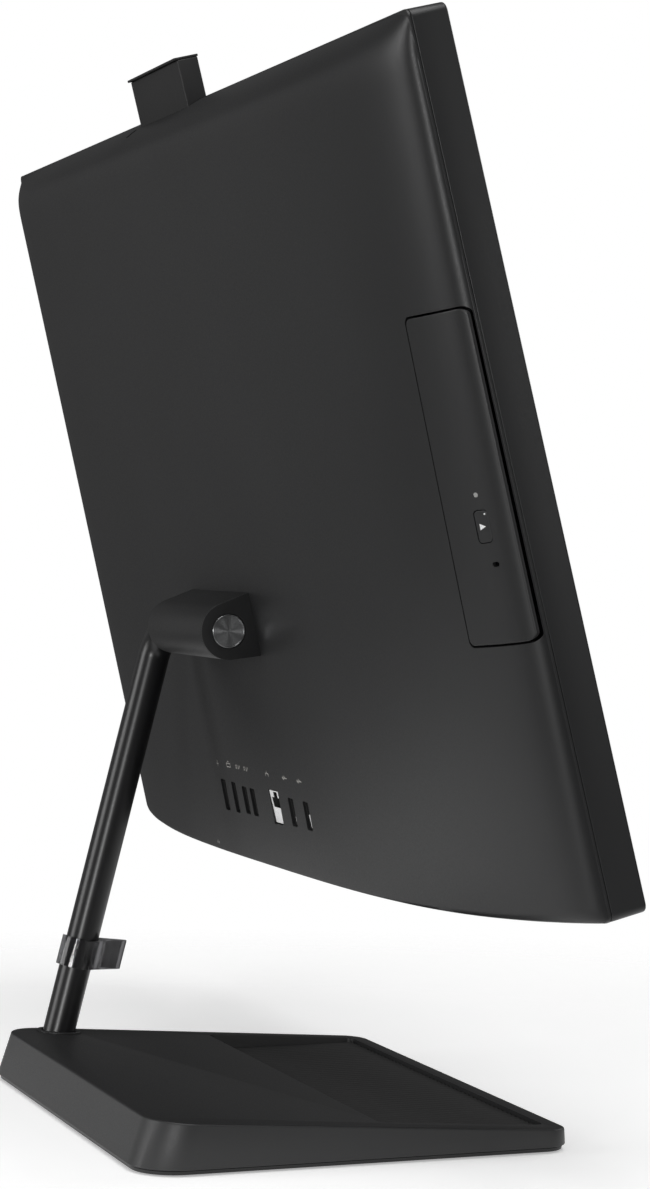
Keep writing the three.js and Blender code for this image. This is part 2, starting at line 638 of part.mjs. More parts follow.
function basePieces() {
  const plateTop = BASE_LIFT - GAP;
  const plate = loft(
    baseOutline(2.2, 1.6, 1.6, () => 0.6),
    baseOutline(1.6, 1.2, 1.2, () => plateTop));
  const footWells = feet().map((foot) => {
    foot.geometry.computeBoundingBox();
    const middle = foot.geometry.boundingBox.getCenter(new THREE.Vector3());
    return barZ(8.3, -1, 2.05, middle.x, middle.y, 28);
  });
  const boltWell = barZ(9, -1, 5, TUBE_X, footY(TUBE_FOOT_Z), 28);
  const weight = block(BASE_X - 118, BASE_X + 84, 8, 82, BASE_LIFT + GAP, 9.5);
  const mat = roundedRect(TRAY.x0 + 0.5, TRAY.x1 - 0.5, TRAY.y0 + 0.5, TRAY.y1 - 0.5, TRAY.r);
  return [
    baseShell(),
    piece('base_bottom_plate', cut(plate, ...footWells, boltWell), softBlack()),
    piece('base_weight', cut(weight, columnCore(TUBE_R + 1.5, 0, 40)), steel()),
    piece('tray_mat', alongZ(mat, TRAY.floor + GAP, TRAY.floor + 1.3), rubber()),
    ...feet(),
  ];
}

function footY(z) {
  return columnPoint((AXIS_Z - z) / Math.cos(TUBE_LEAN)).y;
}

function columnFittings() {
  const foot = footPoint();
  const slope = Math.atan2(BASE_BACK_H - BASE_FRONT_H, BASE_D);
  const ring = barZ(11.2, GAP, 0.9, 0, 0, 36);
  ring.rotateX(slope).translate(foot.x, foot.y, foot.z);
  const collar = cut(ring, columnCore(TUBE_R + 0.35, 0, 60));
  const y = footY(TUBE_FOOT_Z);
  const head = barZ(7, 0.8, 3.6, TUBE_X, y, 6);
  return [
    piece('column_collar', collar, shellBlack()),
    piece('column_bolt', head, steel()),
    piece('hinge_shaft', barX(SHAFT_R, -36, TUBE_PLUG_X - GAP, AXIS_Y, AXIS_Z, 28), steel()),
  ];
}

// ---- cable clip ---------------------------------------------------------------------
const CLIP = { z: 61, height: 14.6, wall: 1.6, half: 9.5, reach: 20 };

// A split ring that snaps on the column, with a loop in front of it for the cables.
function cableClip() {
  const bore = TUBE_R + GAP;
  const ring = new THREE.Shape().absarc(0, 0, bore + CLIP.wall, 0, 2 * Math.PI);
  const loop = roundedRect(-CLIP.half, CLIP.half, -CLIP.reach, 0, 1.5);
  const inside = roundedRect(
    -CLIP.half + CLIP.wall, CLIP.half - CLIP.wall, -CLIP.reach + CLIP.wall,
    -bore - CLIP.wall, 1);
  const half = CLIP.height / 2;
  const body = join(alongZ(ring, -half, half, 24), alongZ(loop, -half, half));
  const slit = block(-20, -2, 5.2, 20, -20, 20);
  const hollow = cut(body, barZ(bore, -20, 20, 0, 0, 32), alongZ(inside, -20, 20), slit);
  hollow.rotateX(TUBE_LEAN);
  const middle = columnPoint((AXIS_Z - CLIP.z) / Math.cos(TUBE_LEAN));
  return piece('cable_clip', hollow.translate(middle.x, middle.y, middle.z),
    paint(0x3a3c3f, 0.2));
}

// ---- power button -------------------------------------------------------------------
function powerButton() {
  return piece('power_button', block(79, 91, -10, -6, -0.4, 2.2), softBlack());
}

// ---- assembly -----------------------------------------------------------------------
const head = new THREE.Group();
head.position.set(0, SEAM_Y, SEAM_Z);
head.rotation.x = -TILT;
head.add(
  rearCover(), midFrame(), ...displayPieces(), ...electronics(), blower(), impeller(),
  driveCase(), driveTray(), driveBezel(), ejectButton(), discSpindle(), laserSled(),
  ...cameraPieces(), cameraGuide(), ...hingePieces(), powerButton());

const stand = new THREE.Group();
stand.add(...basePieces(), column(), ...columnFittings(), cableClip());

const computer = new THREE.Group();
computer.add(stand, head);

export default computer;
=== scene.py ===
"""All-in-one computer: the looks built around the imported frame.

Metres, +Z up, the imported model's own frame. The head's pieces are drawn in the head's own
axes (x across, n out of its back, s up the head) and turned into the frame by HEAD.
"""

import json
import math

import bmesh
import bpy
from mathutils import Matrix, Vector


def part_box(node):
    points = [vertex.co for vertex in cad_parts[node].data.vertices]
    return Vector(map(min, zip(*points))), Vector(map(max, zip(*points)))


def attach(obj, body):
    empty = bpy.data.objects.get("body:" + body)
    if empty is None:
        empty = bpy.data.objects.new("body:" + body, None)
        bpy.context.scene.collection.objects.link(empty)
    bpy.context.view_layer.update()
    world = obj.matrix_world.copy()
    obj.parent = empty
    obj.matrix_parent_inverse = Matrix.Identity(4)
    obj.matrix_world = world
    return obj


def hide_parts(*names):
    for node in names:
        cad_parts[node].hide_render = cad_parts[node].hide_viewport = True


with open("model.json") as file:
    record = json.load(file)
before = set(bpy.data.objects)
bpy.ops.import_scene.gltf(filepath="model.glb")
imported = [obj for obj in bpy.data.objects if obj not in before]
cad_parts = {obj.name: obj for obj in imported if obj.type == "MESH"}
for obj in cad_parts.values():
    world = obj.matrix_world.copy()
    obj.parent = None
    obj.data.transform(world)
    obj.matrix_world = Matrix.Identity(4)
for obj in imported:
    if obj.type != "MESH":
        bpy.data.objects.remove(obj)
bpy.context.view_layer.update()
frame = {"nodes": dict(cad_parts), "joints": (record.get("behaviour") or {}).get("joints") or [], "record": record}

MM = 0.001
JOINTS = {joint["name"]: joint for joint in frame["joints"]}

# ---- the head's own axes ----
HINGE = Vector(JOINTS["head_tilt"]["pos_m"])
UP = Vector(JOINTS["camera_slide"]["axis"])
OUT = Vector(JOINTS["fan_spin"]["axis"])
AXIS_S = 125.3 * MM
AXIS_N = 48.75 * MM
ORIGIN = HINGE - UP * AXIS_S - OUT * AXIS_N
HEAD = Matrix((
    (1, OUT.x, UP.x, ORIGIN.x),
    (0, OUT.y, UP.y, ORIGIN.y),
    (0, OUT.z, UP.z, ORIGIN.z),
    (0, 0, 0, 1),
))

# ---- driving dimensions ----
HEAD_W = 614 * MM
HEAD_H = 372.7 * MM
SIDE_T = 15.9 * MM  # straight side wall
CORNER_R = 4 * MM
WALL = 2.4 * MM
GAP = 0.3 * MM
BULGE_BOTTOM = 41 * MM
BULGE_TOP = 25 * MM
BULGE_POWER = 3
BULGE_ROUND = 0.47
TOP_ROLL = 30 * MM
LOW_ROLL = 3 * MM  # along the middle of the lower edge
LOW_ROLL_CORNER = 5 * MM  # added to it at the corners
RIM = 1.2 * MM
SEAM_EDGE = 0.12 * MM

FRAME_WALL = 2.6 * MM
FRAME_LIP = 1.6 * MM
SCREEN_S = (27.5 * MM, 366.5 * MM)
SCREEN_SET_IN = 1.9 * MM
SCREEN_T = 6 * MM
VENTS = 14  # on each side of the camera
VENT_FIRST_X = 70 * MM
VENT_PITCH = 12 * MM
BUTTON_SLOT = (78.6 * MM, 91.4 * MM)  # power button's opening: x0, x1
GRILLE_HALF = 303 * MM
GRILLE_S = (2.2 * MM, 16.2 * MM)

BEZEL = (-306 * MM, -272.4 * MM, 119.2 * MM, 254.2 * MM)  # drive bezel: x0, x1, s0, s1
BEZEL_R = 3 * MM
BEZEL_SEAM_GAP = 0.35 * MM
EJECT = (-297.3 * MM, -290.7 * MM, 160.8 * MM, 173.8 * MM)
PINHOLE = (-298.2 * MM, -295 * MM, 150.6 * MM, 152.6 * MM)
LAMP_HOLE = (-294.9 * MM, -292.5 * MM, 179.2 * MM, 181.4 * MM)
BAY_GAP = 0.4 * MM  # beside the bezel's inner edge
BAY_END_GAP = 0.9 * MM  # above and below it
BAY_SEAM_GAP = 0.75 * MM  # towards the seam, where the gap is widest

BLOCK_HALF = 44.5 * MM  # hinge block
BLOCK_R = 13.6 * MM
BLOCK_RISE = 15.2 * MM
BLOCK_FOOT_N = 36.7 * MM
END_PLATE = 1.1 * MM
GROOVE = 0.3 * MM  # behind the end plate
CAP_R = 8 * MM
CAP_FACE = 0.5 * MM  # the cap's face, from the housing's end
CAP_GROOVES = 18

TUBE_R = 8 * MM
TUBE_BEND = 18 * MM
TUBE_PLUG_X = 20 * MM
TUBE_FOOT_Z = 6 * MM
TUBE_EASE = 0.35 * MM

BASE_LIFT = 2.8 * MM
BASE_BACK_H = 24 * MM
BASE_FRONT_H = 10.1 * MM
BASE_BACK_R = 22 * MM
BASE_FRONT_R = 12 * MM
BASE_BACK_INSET = 6.3 * MM
BASE_SIDE_INSET = 1.2 * MM
TRAY_FLOOR = 7.6 * MM
TRAY_R = 4 * MM
TRAY_GAP = 0.5 * MM  # round the mat
RIB_PITCH = 5 * MM
RIB_H = 0.5 * MM
FEET = ("foot_front_left", "foot_front_right", "foot_back_left", "foot_back_right")

USB_SLOT = (7.0, 27.0, 40.8, 1.0)
PORTS = {  # millimetres: middle x, width, s0, s1, corner radius of the slot
    "port_dc_in": (55.5, 7.2, 26.0, 42.0, 1.2),
    "port_hdmi": (38.6, 6.6, 26.2, 41.8, 1.2),
    "port_usb3_a": (21.9, *USB_SLOT),
    "port_usb3_b": (9.6, *USB_SLOT),
    "port_ethernet": (-24.0, 13.6, 25.6, 42.8, 0.5),
    "port_usb2_a": (-48.0, *USB_SLOT),
    "port_usb2_b": (-69.0, *USB_SLOT),
}


# ---- mesh helpers ----
def make_object(name, vertices, faces, matrix=None):
    """A mesh object with its normals pointing out, in place in the frame."""
    mesh = bpy.data.meshes.new(name)
    mesh.from_pydata([tuple(v) for v in vertices], [], faces)
    if matrix:
        mesh.transform(matrix)
    work = bmesh.new()
    work.from_mesh(mesh)
    bmesh.ops.remove_doubles(work, verts=work.verts, dist=1e-7)
    bmesh.ops.recalc_face_normals(work, faces=work.faces)
    work.to_mesh(mesh)
    work.free()
    obj = bpy.data.objects.new(name, mesh)
    bpy.context.scene.collection.objects.link(obj)
    return obj


def settle(obj):
    """Applies the modifiers to the mesh."""
    graph = bpy.context.evaluated_depsgraph_get()
    mesh = bpy.data.meshes.new_from_object(obj.evaluated_get(graph))
    obj.modifiers.clear()
    obj.data = mesh


def smooth(obj, angle=35):
    obj.data.shade_smooth()
    obj.data.set_sharp_from_angle(angle=math.radians(angle))


def soften(obj, width, segments=3, angle=35):
    """Rounds every edge sharper than angle."""
    bevel = obj.modifiers.new("soften", "BEVEL")
    bevel.width = width
    bevel.segments = segments
    bevel.limit_method = "ANGLE"
    bevel.angle_limit = math.radians(angle)
    settle(obj)
    smooth(obj)


def combine(obj, other, operation):
    boolean = obj.modifiers.new("combine", "BOOLEAN")
    boolean.operation = operation
    boolean.object = other
    boolean.solver = "EXACT"
    settle(obj)
    bpy.data.objects.remove(other)
    return obj


def joined(name, parts):
    """One mesh of several separate ones."""
    work = bmesh.new()
    for part in parts:
        work.from_mesh(part.data)
        bpy.data.objects.remove(part)
    mesh = bpy.data.meshes.new(name)
    work.to_mesh(mesh)
    work.free()
    obj = bpy.data.objects.new(name, mesh)
    bpy.context.scene.collection.objects.link(obj)
    return obj


def carve(obj, *cutters):
    return combine(obj, joined("cutters", cutters), "DIFFERENCE")


def fuse(obj, other):
    return combine(obj, other, "UNION")


def circle(r, steps):
    turns = [2 * math.pi * i / steps for i in range(steps)]
    return [(r * math.cos(a), r * math.sin(a)) for a in turns]


def rounded_rect(x0, x1, y0, y1, low_r, high_r=None, steps=8):
    """Outline points, counter-clockwise, with one radius for each end in y."""
    high_r = low_r if high_r is None else high_r
    corners = (
        (x0 + low_r, y0 + low_r, low_r, 180),
        (x1 - low_r, y0 + low_r, low_r, 270),
        (x1 - high_r, y1 - high_r, high_r, 0),
        (x0 + high_r, y1 - high_r, high_r, 90),
    )
    points = []
    for cx, cy, r, start in corners:
        for i in range(steps + 1):
            a = math.radians(start + 90 * i / steps)
            points.append((cx + r * math.cos(a), cy + r * math.sin(a)))
    return points


def ring_solid(name, rings, matrix=None, cyclic=False):
    """A solid through rings with the same number of points, closed by end faces or on itself."""
    count = len(rings[0])
    faces = []
    for a in range(len(rings) if cyclic else len(rings) - 1):
        b = (a + 1) % len(rings)
        for i in range(count):
            j = (i + 1) % count
            faces.append((a * count + i, a * count + j, b * count + j, b * count + i))
    if not cyclic:
        last = (len(rings) - 1) * count
        faces.append(tuple(reversed(range(count))))
        faces.append(tuple(range(last, last + count)))
    return make_object(name, [p for ring in rings for p in ring], faces, matrix)


def prism_n(name, outline, n0, n1):
    """An outline in (x, s) pushed along the head's n."""
    rings = [[(x, n, s) for x, s in outline] for n in (n0, n1)]
    return ring_solid(name, rings, HEAD)


def box_n(x0, x1, n0, n1, s0, s1):
    return prism_n("box", [(x0, s0), (x1, s0), (x1, s1), (x0, s1)], n0, n1)


def lathe_x(name, profile, at, sides=96):
    """A profile of (radius, x) points turned about the line through at along X."""
    rings = [[(at.x + x, at.y + y, at.z + z) for y, z in circle(r, sides)] for r, x in profile]
    return ring_solid(name, rings)


def dress(obj, body, slot, *nodes, look=None):
    """Puts a finished piece on its body, in place of the CAD nodes that it stands for.

    Its look is the slot's own, unless another is given.
    """
    obj.data.materials.clear()
    obj.data.materials.append(look or LOOKS[slot])
    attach(obj, body)
    if nodes:
        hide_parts(*nodes)


# ---- materials ----
class Look:
    """A principled material and its node tree, with short ways to add nodes."""

    def __init__(self, name, color, roughness, metallic=0.0):
        self.material = bpy.data.materials.new(name)
        self.material.use_nodes = True
        self.tree = self.material.node_tree
        self.shader = self.tree.nodes["Principled BSDF"]
        self.color = color
        self.set("Base Color", (*color, 1))
        self.set("Roughness", roughness)
        self.set("Metallic", metallic)
        self.place = self.node("ShaderNodeTexCoord").outputs["Object"]

    def set(self, socket, value):
        self.shader.inputs[socket].default_value = value
        return self

    def node(self, kind, **values):
        node = self.tree.nodes.new(kind)
        for key, value in values.items():
            if key in node.inputs:
                node.inputs[key].default_value = value
            else:
                setattr(node, key, value)
        return node

    def link(self, out, into):
        self.tree.links.new(out, into)

    def stretched(self, scale):
        mapping = self.node("ShaderNodeMapping", Scale=scale)
        self.link(self.place, mapping.inputs["Vector"])
        return mapping.outputs["Vector"]

    def noise(self, scale, detail=3.0, vector=None):
        noise = self.node("ShaderNodeTexNoise", Scale=scale, Detail=detail)
        self.link(vector or self.place, noise.inputs["Vector"])
        return noise.outputs["Fac"]

    def cells(self, scale):
        cells = self.node("ShaderNodeTexVoronoi", Scale=scale)
        self.link(self.place, cells.inputs["Vector"])
        return cells.outputs["Distance"]

    def ranged(self, value, low, high, source=(0.3, 0.7)):
        span = self.node("ShaderNodeMapRange")
        for socket, number in zip(("From Min", "From Max", "To Min", "To Max"), (*source, low, high)):
            span.inputs[socket].default_value = number
        self.link(value, span.inputs["Value"])
        return span.outputs["Result"]

    def varied_roughness(self, value, low, high):
        self.link(self.ranged(value, low, high), self.shader.inputs["Roughness"])
        return self

    def varied_color(self, value, dark, light):
        """Base colour between dark and light times its own colour."""
        ramp = self.node("ShaderNodeValToRGB")
        ramp.color_ramp.elements[0].position = 0.3
        ramp.color_ramp.elements[1].position = 0.7
        for element, share in zip(ramp.color_ramp.elements, (dark, light)):
            element.color = (*[share * c for c in self.color], 1)
        self.link(value, ramp.inputs["Fac"])
        self.link(ramp.outputs["Color"], self.shader.inputs["Base Color"])
        return self

    def bumps(self, *layers):
        """Bump layers of (height, distance, strength), each over the one before."""
        normal = None
        for height, distance, strength in layers:
            bump = self.node("ShaderNodeBump", Distance=distance, Strength=strength)
            self.link(height, bump.inputs["Height"])
            if normal:
                self.link(normal, bump.inputs["Normal"])
            normal = bump.outputs["Normal"]
        self.link(normal, self.shader.inputs["Normal"])
        return self


def grained_plastic(name, color, roughness, grain=1500, depth=0.06):
    """Moulded plastic with a fine spark-eroded grain and faint large-scale unevenness."""
    look = Look(name, color, roughness)
    fine = look.noise(grain, 2)
    pits = look.cells(grain * 0.8)
    broad = look.noise(14, 2)
    look.varied_color(broad, 0.92, 1.08)
    look.varied_roughness(fine, roughness - 0.05, roughness + 0.05)
    look.bumps((fine, 0.1 * MM, depth), (pits, 0.08 * MM, depth))
    return look.material


def gloss_paint(name, color, roughness):
    """Gloss paint on metal: faint orange peel and fine dust in the clear coat."""
    look = Look(name, color, roughness)
    look.set("Specular IOR Level", 0.55)
    peel = look.noise(260, 2)
    specks = look.noise(2400, 2)
    look.varied_color(specks, 0.85, 1.15)
    look.varied_roughness(specks, roughness, roughness + 0.04)
    look.bumps((peel, 0.05 * MM, 0.05))
    return look.material


def spun_metal(name, color, roughness):
    """Metal turned on a lathe about X: its glint runs out from the middle."""
    look = Look(name, color, roughness, 1.0)
    look.set("Anisotropic", 0.85).set("Anisotropic Rotation", 0.25)
    tangent = look.node("ShaderNodeTangent", direction_type="RADIAL", axis="X")
    look.link(tangent.outputs["Tangent"], look.shader.inputs["Tangent"])
    streaks = look.noise(1800, 2)
    look.varied_color(streaks, 0.9, 1.1)
    look.varied_roughness(streaks, roughness - 0.04, roughness + 0.04)
    return look.material


def plated_metal(name, color, roughness, streak=(1, 1, 1)):
    """Plated or rolled sheet: fine drawn streaks and faint stains."""
    look = Look(name, color, roughness, 1.0)
    lines = look.noise(900, 3, look.stretched(streak))
    stains = look.noise(60, 4)
    look.varied_color(stains, 0.88, 1.08)
    look.varied_roughness(lines, roughness - 0.08, roughness + 0.08)
    look.bumps((lines, 0.03 * MM, 0.12))
    return look.material


def cast_metal(name, color, roughness):
    look = Look(name, color, roughness, 0.6)
    sand = look.noise(700, 5)
    look.varied_color(sand, 0.7, 1.3)
    look.varied_roughness(sand, roughness - 0.1, roughness + 0.1)
    look.bumps((sand, 0.2 * MM, 0.5))
    return look.material


def soft_rubber(name, color, roughness):
    look = Look(name, color, roughness)
    matt = look.noise(1200, 3)
    look.varied_color(matt, 0.8, 1.2)
    look.varied_roughness(matt, roughness - 0.06, roughness + 0.06)
    look.bumps((matt, 0.08 * MM, 0.25))
    return look.material


def circuit_green(name, color):
    """Solder mask with the faint grid of tracks under it."""
    look = Look(name, color, 0.4)
    weave = look.node("ShaderNodeTexBrick", Scale=140.0)
    for socket, share in (("Color1", 0.8), ("Color2", 1.3), ("Mortar", 2.2)):
        weave.inputs[socket].default_value = (*[share * c for c in color], 1)
    look.link(look.place, weave.inputs["Vector"])
    look.link(weave.outputs["Color"], look.shader.inputs["Base Color"])
    look.bumps((weave.outputs["Fac"], 0.04 * MM, 0.3))
    return look.material


def woven_cloth(name, color):
    """Acoustic cloth: two crossed waves make the weave."""
    look = Look(name, color, 0.85)
    look.set("Sheen Weight", 0.25).set("Sheen Roughness", 0.5)
    waves = []
    for direction in ("X", "Z"):
        wave = look.node("ShaderNodeTexWave", Scale=700.0, Distortion=0.4, bands_direction=direction)
        look.link(look.place, wave.inputs["Vector"])
        waves.append(wave.outputs["Fac"])
    mix = look.node("ShaderNodeMath", operation="MULTIPLY")
    look.link(waves[0], mix.inputs[0])
    look.link(waves[1], mix.inputs[1])
    look.varied_color(mix.outputs[0], 0.6, 1.5)
    look.bumps((mix.outputs[0], 0.2 * MM, 0.6))
    return look.material


def screen_film(name, color):
    """Dark panel with an anti-glare haze."""
    look = Look(name, color, 0.18)
    haze = look.noise(1800, 2)
    look.varied_color(look.noise(9, 1), 0.9, 1.1)
    look.varied_roughness(haze, 0.15, 0.22)
    look.bumps((haze, 0.02 * MM, 0.08))
    return look.material


def polished_glass(name, color):
    look = Look(name, color, 0.04)
    look.set("Coat Weight", 1.0).set("Coat Roughness", 0.02)
    rings = look.noise(600, 1)
    look.varied_color(rings, 0.8, 1.2)
    look.varied_roughness(rings, 0.03, 0.06)
    return look.material


def smoky_clear(name, color):
    """Smoky see-through plastic."""
    look = Look(name, color, 0.13)
    look.set("Transmission Weight", 0.94).set("IOR", 1.45)
    swirl = look.noise(90, 2)
    look.varied_color(swirl, 0.85, 1.15)
    look.varied_roughness(look.noise(900, 2), 0.1, 0.16)
    return look.material


def printed(name, color):
    """A pale matt surface with a fine speckle: printed ink or plain plastic, and also the painted glints in two
    sockets and on the drive's lamp.
    """
    look = Look(name, color, 0.6)
    speckle = look.noise(2600, 2)
    look.varied_color(speckle, 0.8, 1.1)
    look.varied_roughness(speckle, 0.5, 0.7)
    return look.material


LOOKS = {name: kind(name, *values) for name, kind, *values in (
    ("cover_plastic", grained_plastic, (0.0125, 0.0127, 0.0132), 0.42),
    ("frame_plastic", grained_plastic, (0.016, 0.0163, 0.0168), 0.4),
    ("base_plastic", grained_plastic, (0.014, 0.0142, 0.0147), 0.46, 1800, 0.05),
    ("hinge_plastic", grained_plastic, (0.012, 0.0122, 0.0126), 0.45, 1600, 0.05),
    ("trim_plastic", grained_plastic, (0.009, 0.009, 0.0094), 0.5, 1700, 0.05),
    ("inner_plastic", grained_plastic, (0.03, 0.03, 0.032), 0.5),
    ("grille_fabric", woven_cloth, (0.035, 0.036, 0.038)),
    ("screen_gloss", screen_film, (0.006, 0.006, 0.007)),
    ("lens_gloss", polished_glass, (0.004, 0.004, 0.006)),
    ("clip_smoke", smoky_clear, (0.13, 0.13, 0.135)),
    ("tube_gloss", gloss_paint, (0.006, 0.006, 0.0065), 0.3),
    ("cap_metal", spun_metal, (0.4, 0.405, 0.41), 0.34),
    ("port_metal", plated_metal, (0.6, 0.61, 0.62), 0.3),
    ("steel", plated_metal, (0.48, 0.49, 0.51), 0.38, (1, 1, 0.1)),
    ("iron", cast_metal, (0.08, 0.08, 0.085), 0.6),
    ("alloy", plated_metal, (0.62, 0.63, 0.65), 0.34, (0.1, 1, 1)),
    ("copper", plated_metal, (0.55, 0.27, 0.14), 0.34, (0.1, 1, 1)),
    ("circuit_board", circuit_green, (0.01, 0.055, 0.025)),
    ("pad_rubber", soft_rubber, (0.026, 0.026, 0.026), 0.7),
)}
INK = printed("pale_ink", (0.34, 0.33, 0.31))
# Pale matt white: print on the eject button and the network socket's bright plate, and painted glints in two
# sockets.
PALE_AND_GLINT = printed("pale_plastic_and_painted_glint", (0.95, 0.95, 0.95))
DARK = grained_plastic("slot_dark", (0.006, 0.006, 0.006), 0.55)
# The drive lamp's lens: a real lens, painted pale grey as its glint.
LAMP_LENS_GLINT = printed("lamp_lens_painted_glint", (0.35, 0.35, 0.34))


# ---- rear cover ----
def clamp(value):
    return min(1.0, max(0.0, value))


def cover_depth(x, s):
    """How far the cover's skin stands behind the seam plane."""
    across = clamp(abs(x) / (HEAD_W / 2))
    low_roll = LOW_ROLL + LOW_ROLL_CORNER * across ** 4
    low = clamp(1 - s / low_roll)
    high = clamp(1 - (HEAD_H - s) / TOP_ROLL)
    depth = BULGE_BOTTOM + (BULGE_TOP - BULGE_BOTTOM) * s / HEAD_H
    arch = (1 - across ** BULGE_POWER) ** BULGE_ROUND
    return max(RIM, depth * arch * (1 - low ** 2.5) ** 0.45 * (1 - high ** 4))


def round_corner(x, y, half_x, half_y, r):
    """Moves a grid point near the corner of a rectangle so that the corner becomes round."""
    u = (abs(x) - half_x + r) / r
    v = (abs(y) - half_y + r) / r
    if u <= 0 or v <= 0:
        return x, y
    x = math.copysign(half_x - r + r * u * math.sqrt(1 - v * v / 2), x)
    y = math.copysign(half_y - r + r * v * math.sqrt(1 - u * u / 2), y)
    return x, y


def grid_line(half, count):
    """Places from -half to half, closer together towards the ends."""
    return [half * math.sin(math.pi * (i / count - 0.5)) for i in range(count + 1)]


def patch_points(box, r, counts, margin):
    """A grid of places in (x, s) over a box with round corners, drawn in by a margin."""
    x0, x1, s0, s1 = box
    half_x, half_s = (x1 - x0) / 2 - margin, (s1 - s0) / 2 - margin
    corner_r = max(r - margin, 0.2 * r)
    points = []
    for s in grid_line(half_s, counts[1]):
        for x in grid_line(half_x, counts[0]):
            px, ps = round_corner(x, s, half_x, half_s, corner_r)
            points.append(((x0 + x1) / 2 + px, (s0 + s1) / 2 + ps))
    return points


def patch_border(nx, ns):
    """The numbers of a grid's outer points, once round."""
    low = list(range(nx))
    right = [k * (nx + 1) + nx for k in range(ns)]
    high = [ns * (nx + 1) + i for i in range(nx, 0, -1)]
    left = [k * (nx + 1) for k in range(ns, 0, -1)]
    return low + right + high + left


def patch_rim(flat, top, border, edge, bottom):
    """Rings of points that round the border over and end at the underside."""
    layers = []
    for turn in (30, 60, 90):
        a = math.radians(turn)
        ring = []
        for i in border:
            x = top[i][0] + (flat[i][0] - top[i][0]) * math.sin(a)
            s = top[i][1] + (flat[i][1] - top[i][1]) * math.sin(a)
            depth = min(cover_depth(*flat[i]), cover_depth(x, s))
            ring.append((x, depth - edge * (1 - math.cos(a)), s))
        layers.append(ring)
    layers.append([(flat[i][0], bottom(cover_depth(*flat[i])), flat[i][1]) for i in border])
    return layers


def surface_patch(name, box, r, counts, bottom, edge, shrink=0.0):
    """A closed piece of the cover's surface with round corners and rounded rims.

    The box is x0, x1, s0, s1. bottom(depth) gives the underside's n from the skin's, and
    shrink draws the underside in.
    """
    nx, ns = counts
    flat = patch_points(box, r, counts, 0.0)
    top = patch_points(box, r, counts, edge)
    under = patch_points(box, r, counts, shrink)
    border = patch_border(nx, ns)
    vertices = [(x, cover_depth(x, s), s) for x, s in top]
    loops = [border]
    for ring in patch_rim(flat, top, border, edge, bottom):
        loops.append([len(vertices) + i for i in range(len(border))])
        vertices += ring
    base = len(vertices)
    loops.append([base + i for i in border])
    vertices += [(x, bottom(cover_depth(*above)), s) for (x, s), above in zip(under, flat)]
    faces = []
    for k in range(ns):
        for i in range(nx):
            a = k * (nx + 1) + i
            quad = (a, a + 1, a + nx + 2, a + nx + 1)
            faces.append(quad)
            faces.append(tuple(base + q for q in reversed(quad)))
    for a, b in zip(loops, loops[1:]):
        for i in range(len(border)):
            j = (i + 1) % len(border)
            faces.append((a[i], b[i], b[j], a[j]))
    return make_object(name, vertices, faces, HEAD)


def slot_outline(name, ease=0.0):
    middle, width, s0, s1, r = (v * MM for v in PORTS[name])
    x0, x1 = middle - width / 2 - ease, middle + width / 2 + ease
    return rounded_rect(x0, x1, s0 - ease, s1 + ease, r, steps=5)


def bay_cutter():
    x0, x1, s0, s1 = BEZEL
    outline = rounded_rect(
        x0 - BAY_SEAM_GAP, x1 + BAY_GAP, s0 - BAY_END_GAP, s1 + BAY_END_GAP, BEZEL_R)
    return prism_n("bay", outline, -1 * MM, 70 * MM)


def rear_cover():
    """The domed skin, open at the sockets, the drive's bay, the camera and a notch by it."""
    body = surface_patch(
        "cover_skin", (-HEAD_W / 2, HEAD_W / 2, 0, HEAD_H), CORNER_R, (200, 130),
        lambda depth: max(GAP, depth - WALL), SEAM_EDGE, WALL)
    slots = [prism_n("slot", slot_outline(name, 0.1 * MM), 20 * MM, 60 * MM) for name in PORTS]
    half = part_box("camera_housing")[1].x + 0.6 * MM
    camera_slot = box_n(-half, half, -2 * MM, 8.5 * MM, 320 * MM, HEAD_H + 5 * MM)
    notch = box_n(half + 1.4 * MM, half + 6.4 * MM, 2.5 * MM, 20 * MM, 366.6 * MM, 369.4 * MM)
    carve(body, *slots, bay_cutter(), camera_slot, notch)
    smooth(body, 40)
    dress(body, "head", "cover_plastic", "rear_cover")


# ---- display ----
def head_outline(inset, n):
    half = HEAD_W / 2
    r = max(CORNER_R - inset, 0.4 * MM)
    outline = rounded_rect(-half + inset, half - inset, inset, HEAD_H - inset, r, steps=6)
    return [(x, n, s) for x, s in outline]


def edge_rings(outline, n, direction, radius, steps=3):
    """Rings that round the rim of a wall: from the wall's side to its end face at n."""
    rings = []
    for i in range(steps + 1):
        a = math.pi / 2 * i / steps
        rings.append(outline(radius * (1 - math.cos(a)), n - direction * radius * (1 - math.sin(a))))
    return rings


def window_ring(n):
    low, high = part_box("lcd_panel")
    overlap = 2 * MM
    outline = rounded_rect(
        low.x + overlap, high.x - overlap, SCREEN_S[0] + overlap, SCREEN_S[1] - overlap,
        0.4 * MM, steps=6)
    return [(x, n, s) for x, s in outline]


def vent_cutters():
    cutters = []
    for i in range(VENTS):
        for side in (-1, 1):
            x = side * (VENT_FIRST_X + i * VENT_PITCH)
            outline = rounded_rect(
                x - 3.5 * MM, x + 3.5 * MM, -9.5 * MM, -6.5 * MM, 1.4 * MM, steps=4)
            rings = [[(a, b, s) for a, b in outline] for s in (HEAD_H - 5 * MM, HEAD_H + 2 * MM)]
            cutters.append(ring_solid("vent", rings, HEAD))
    return cutters


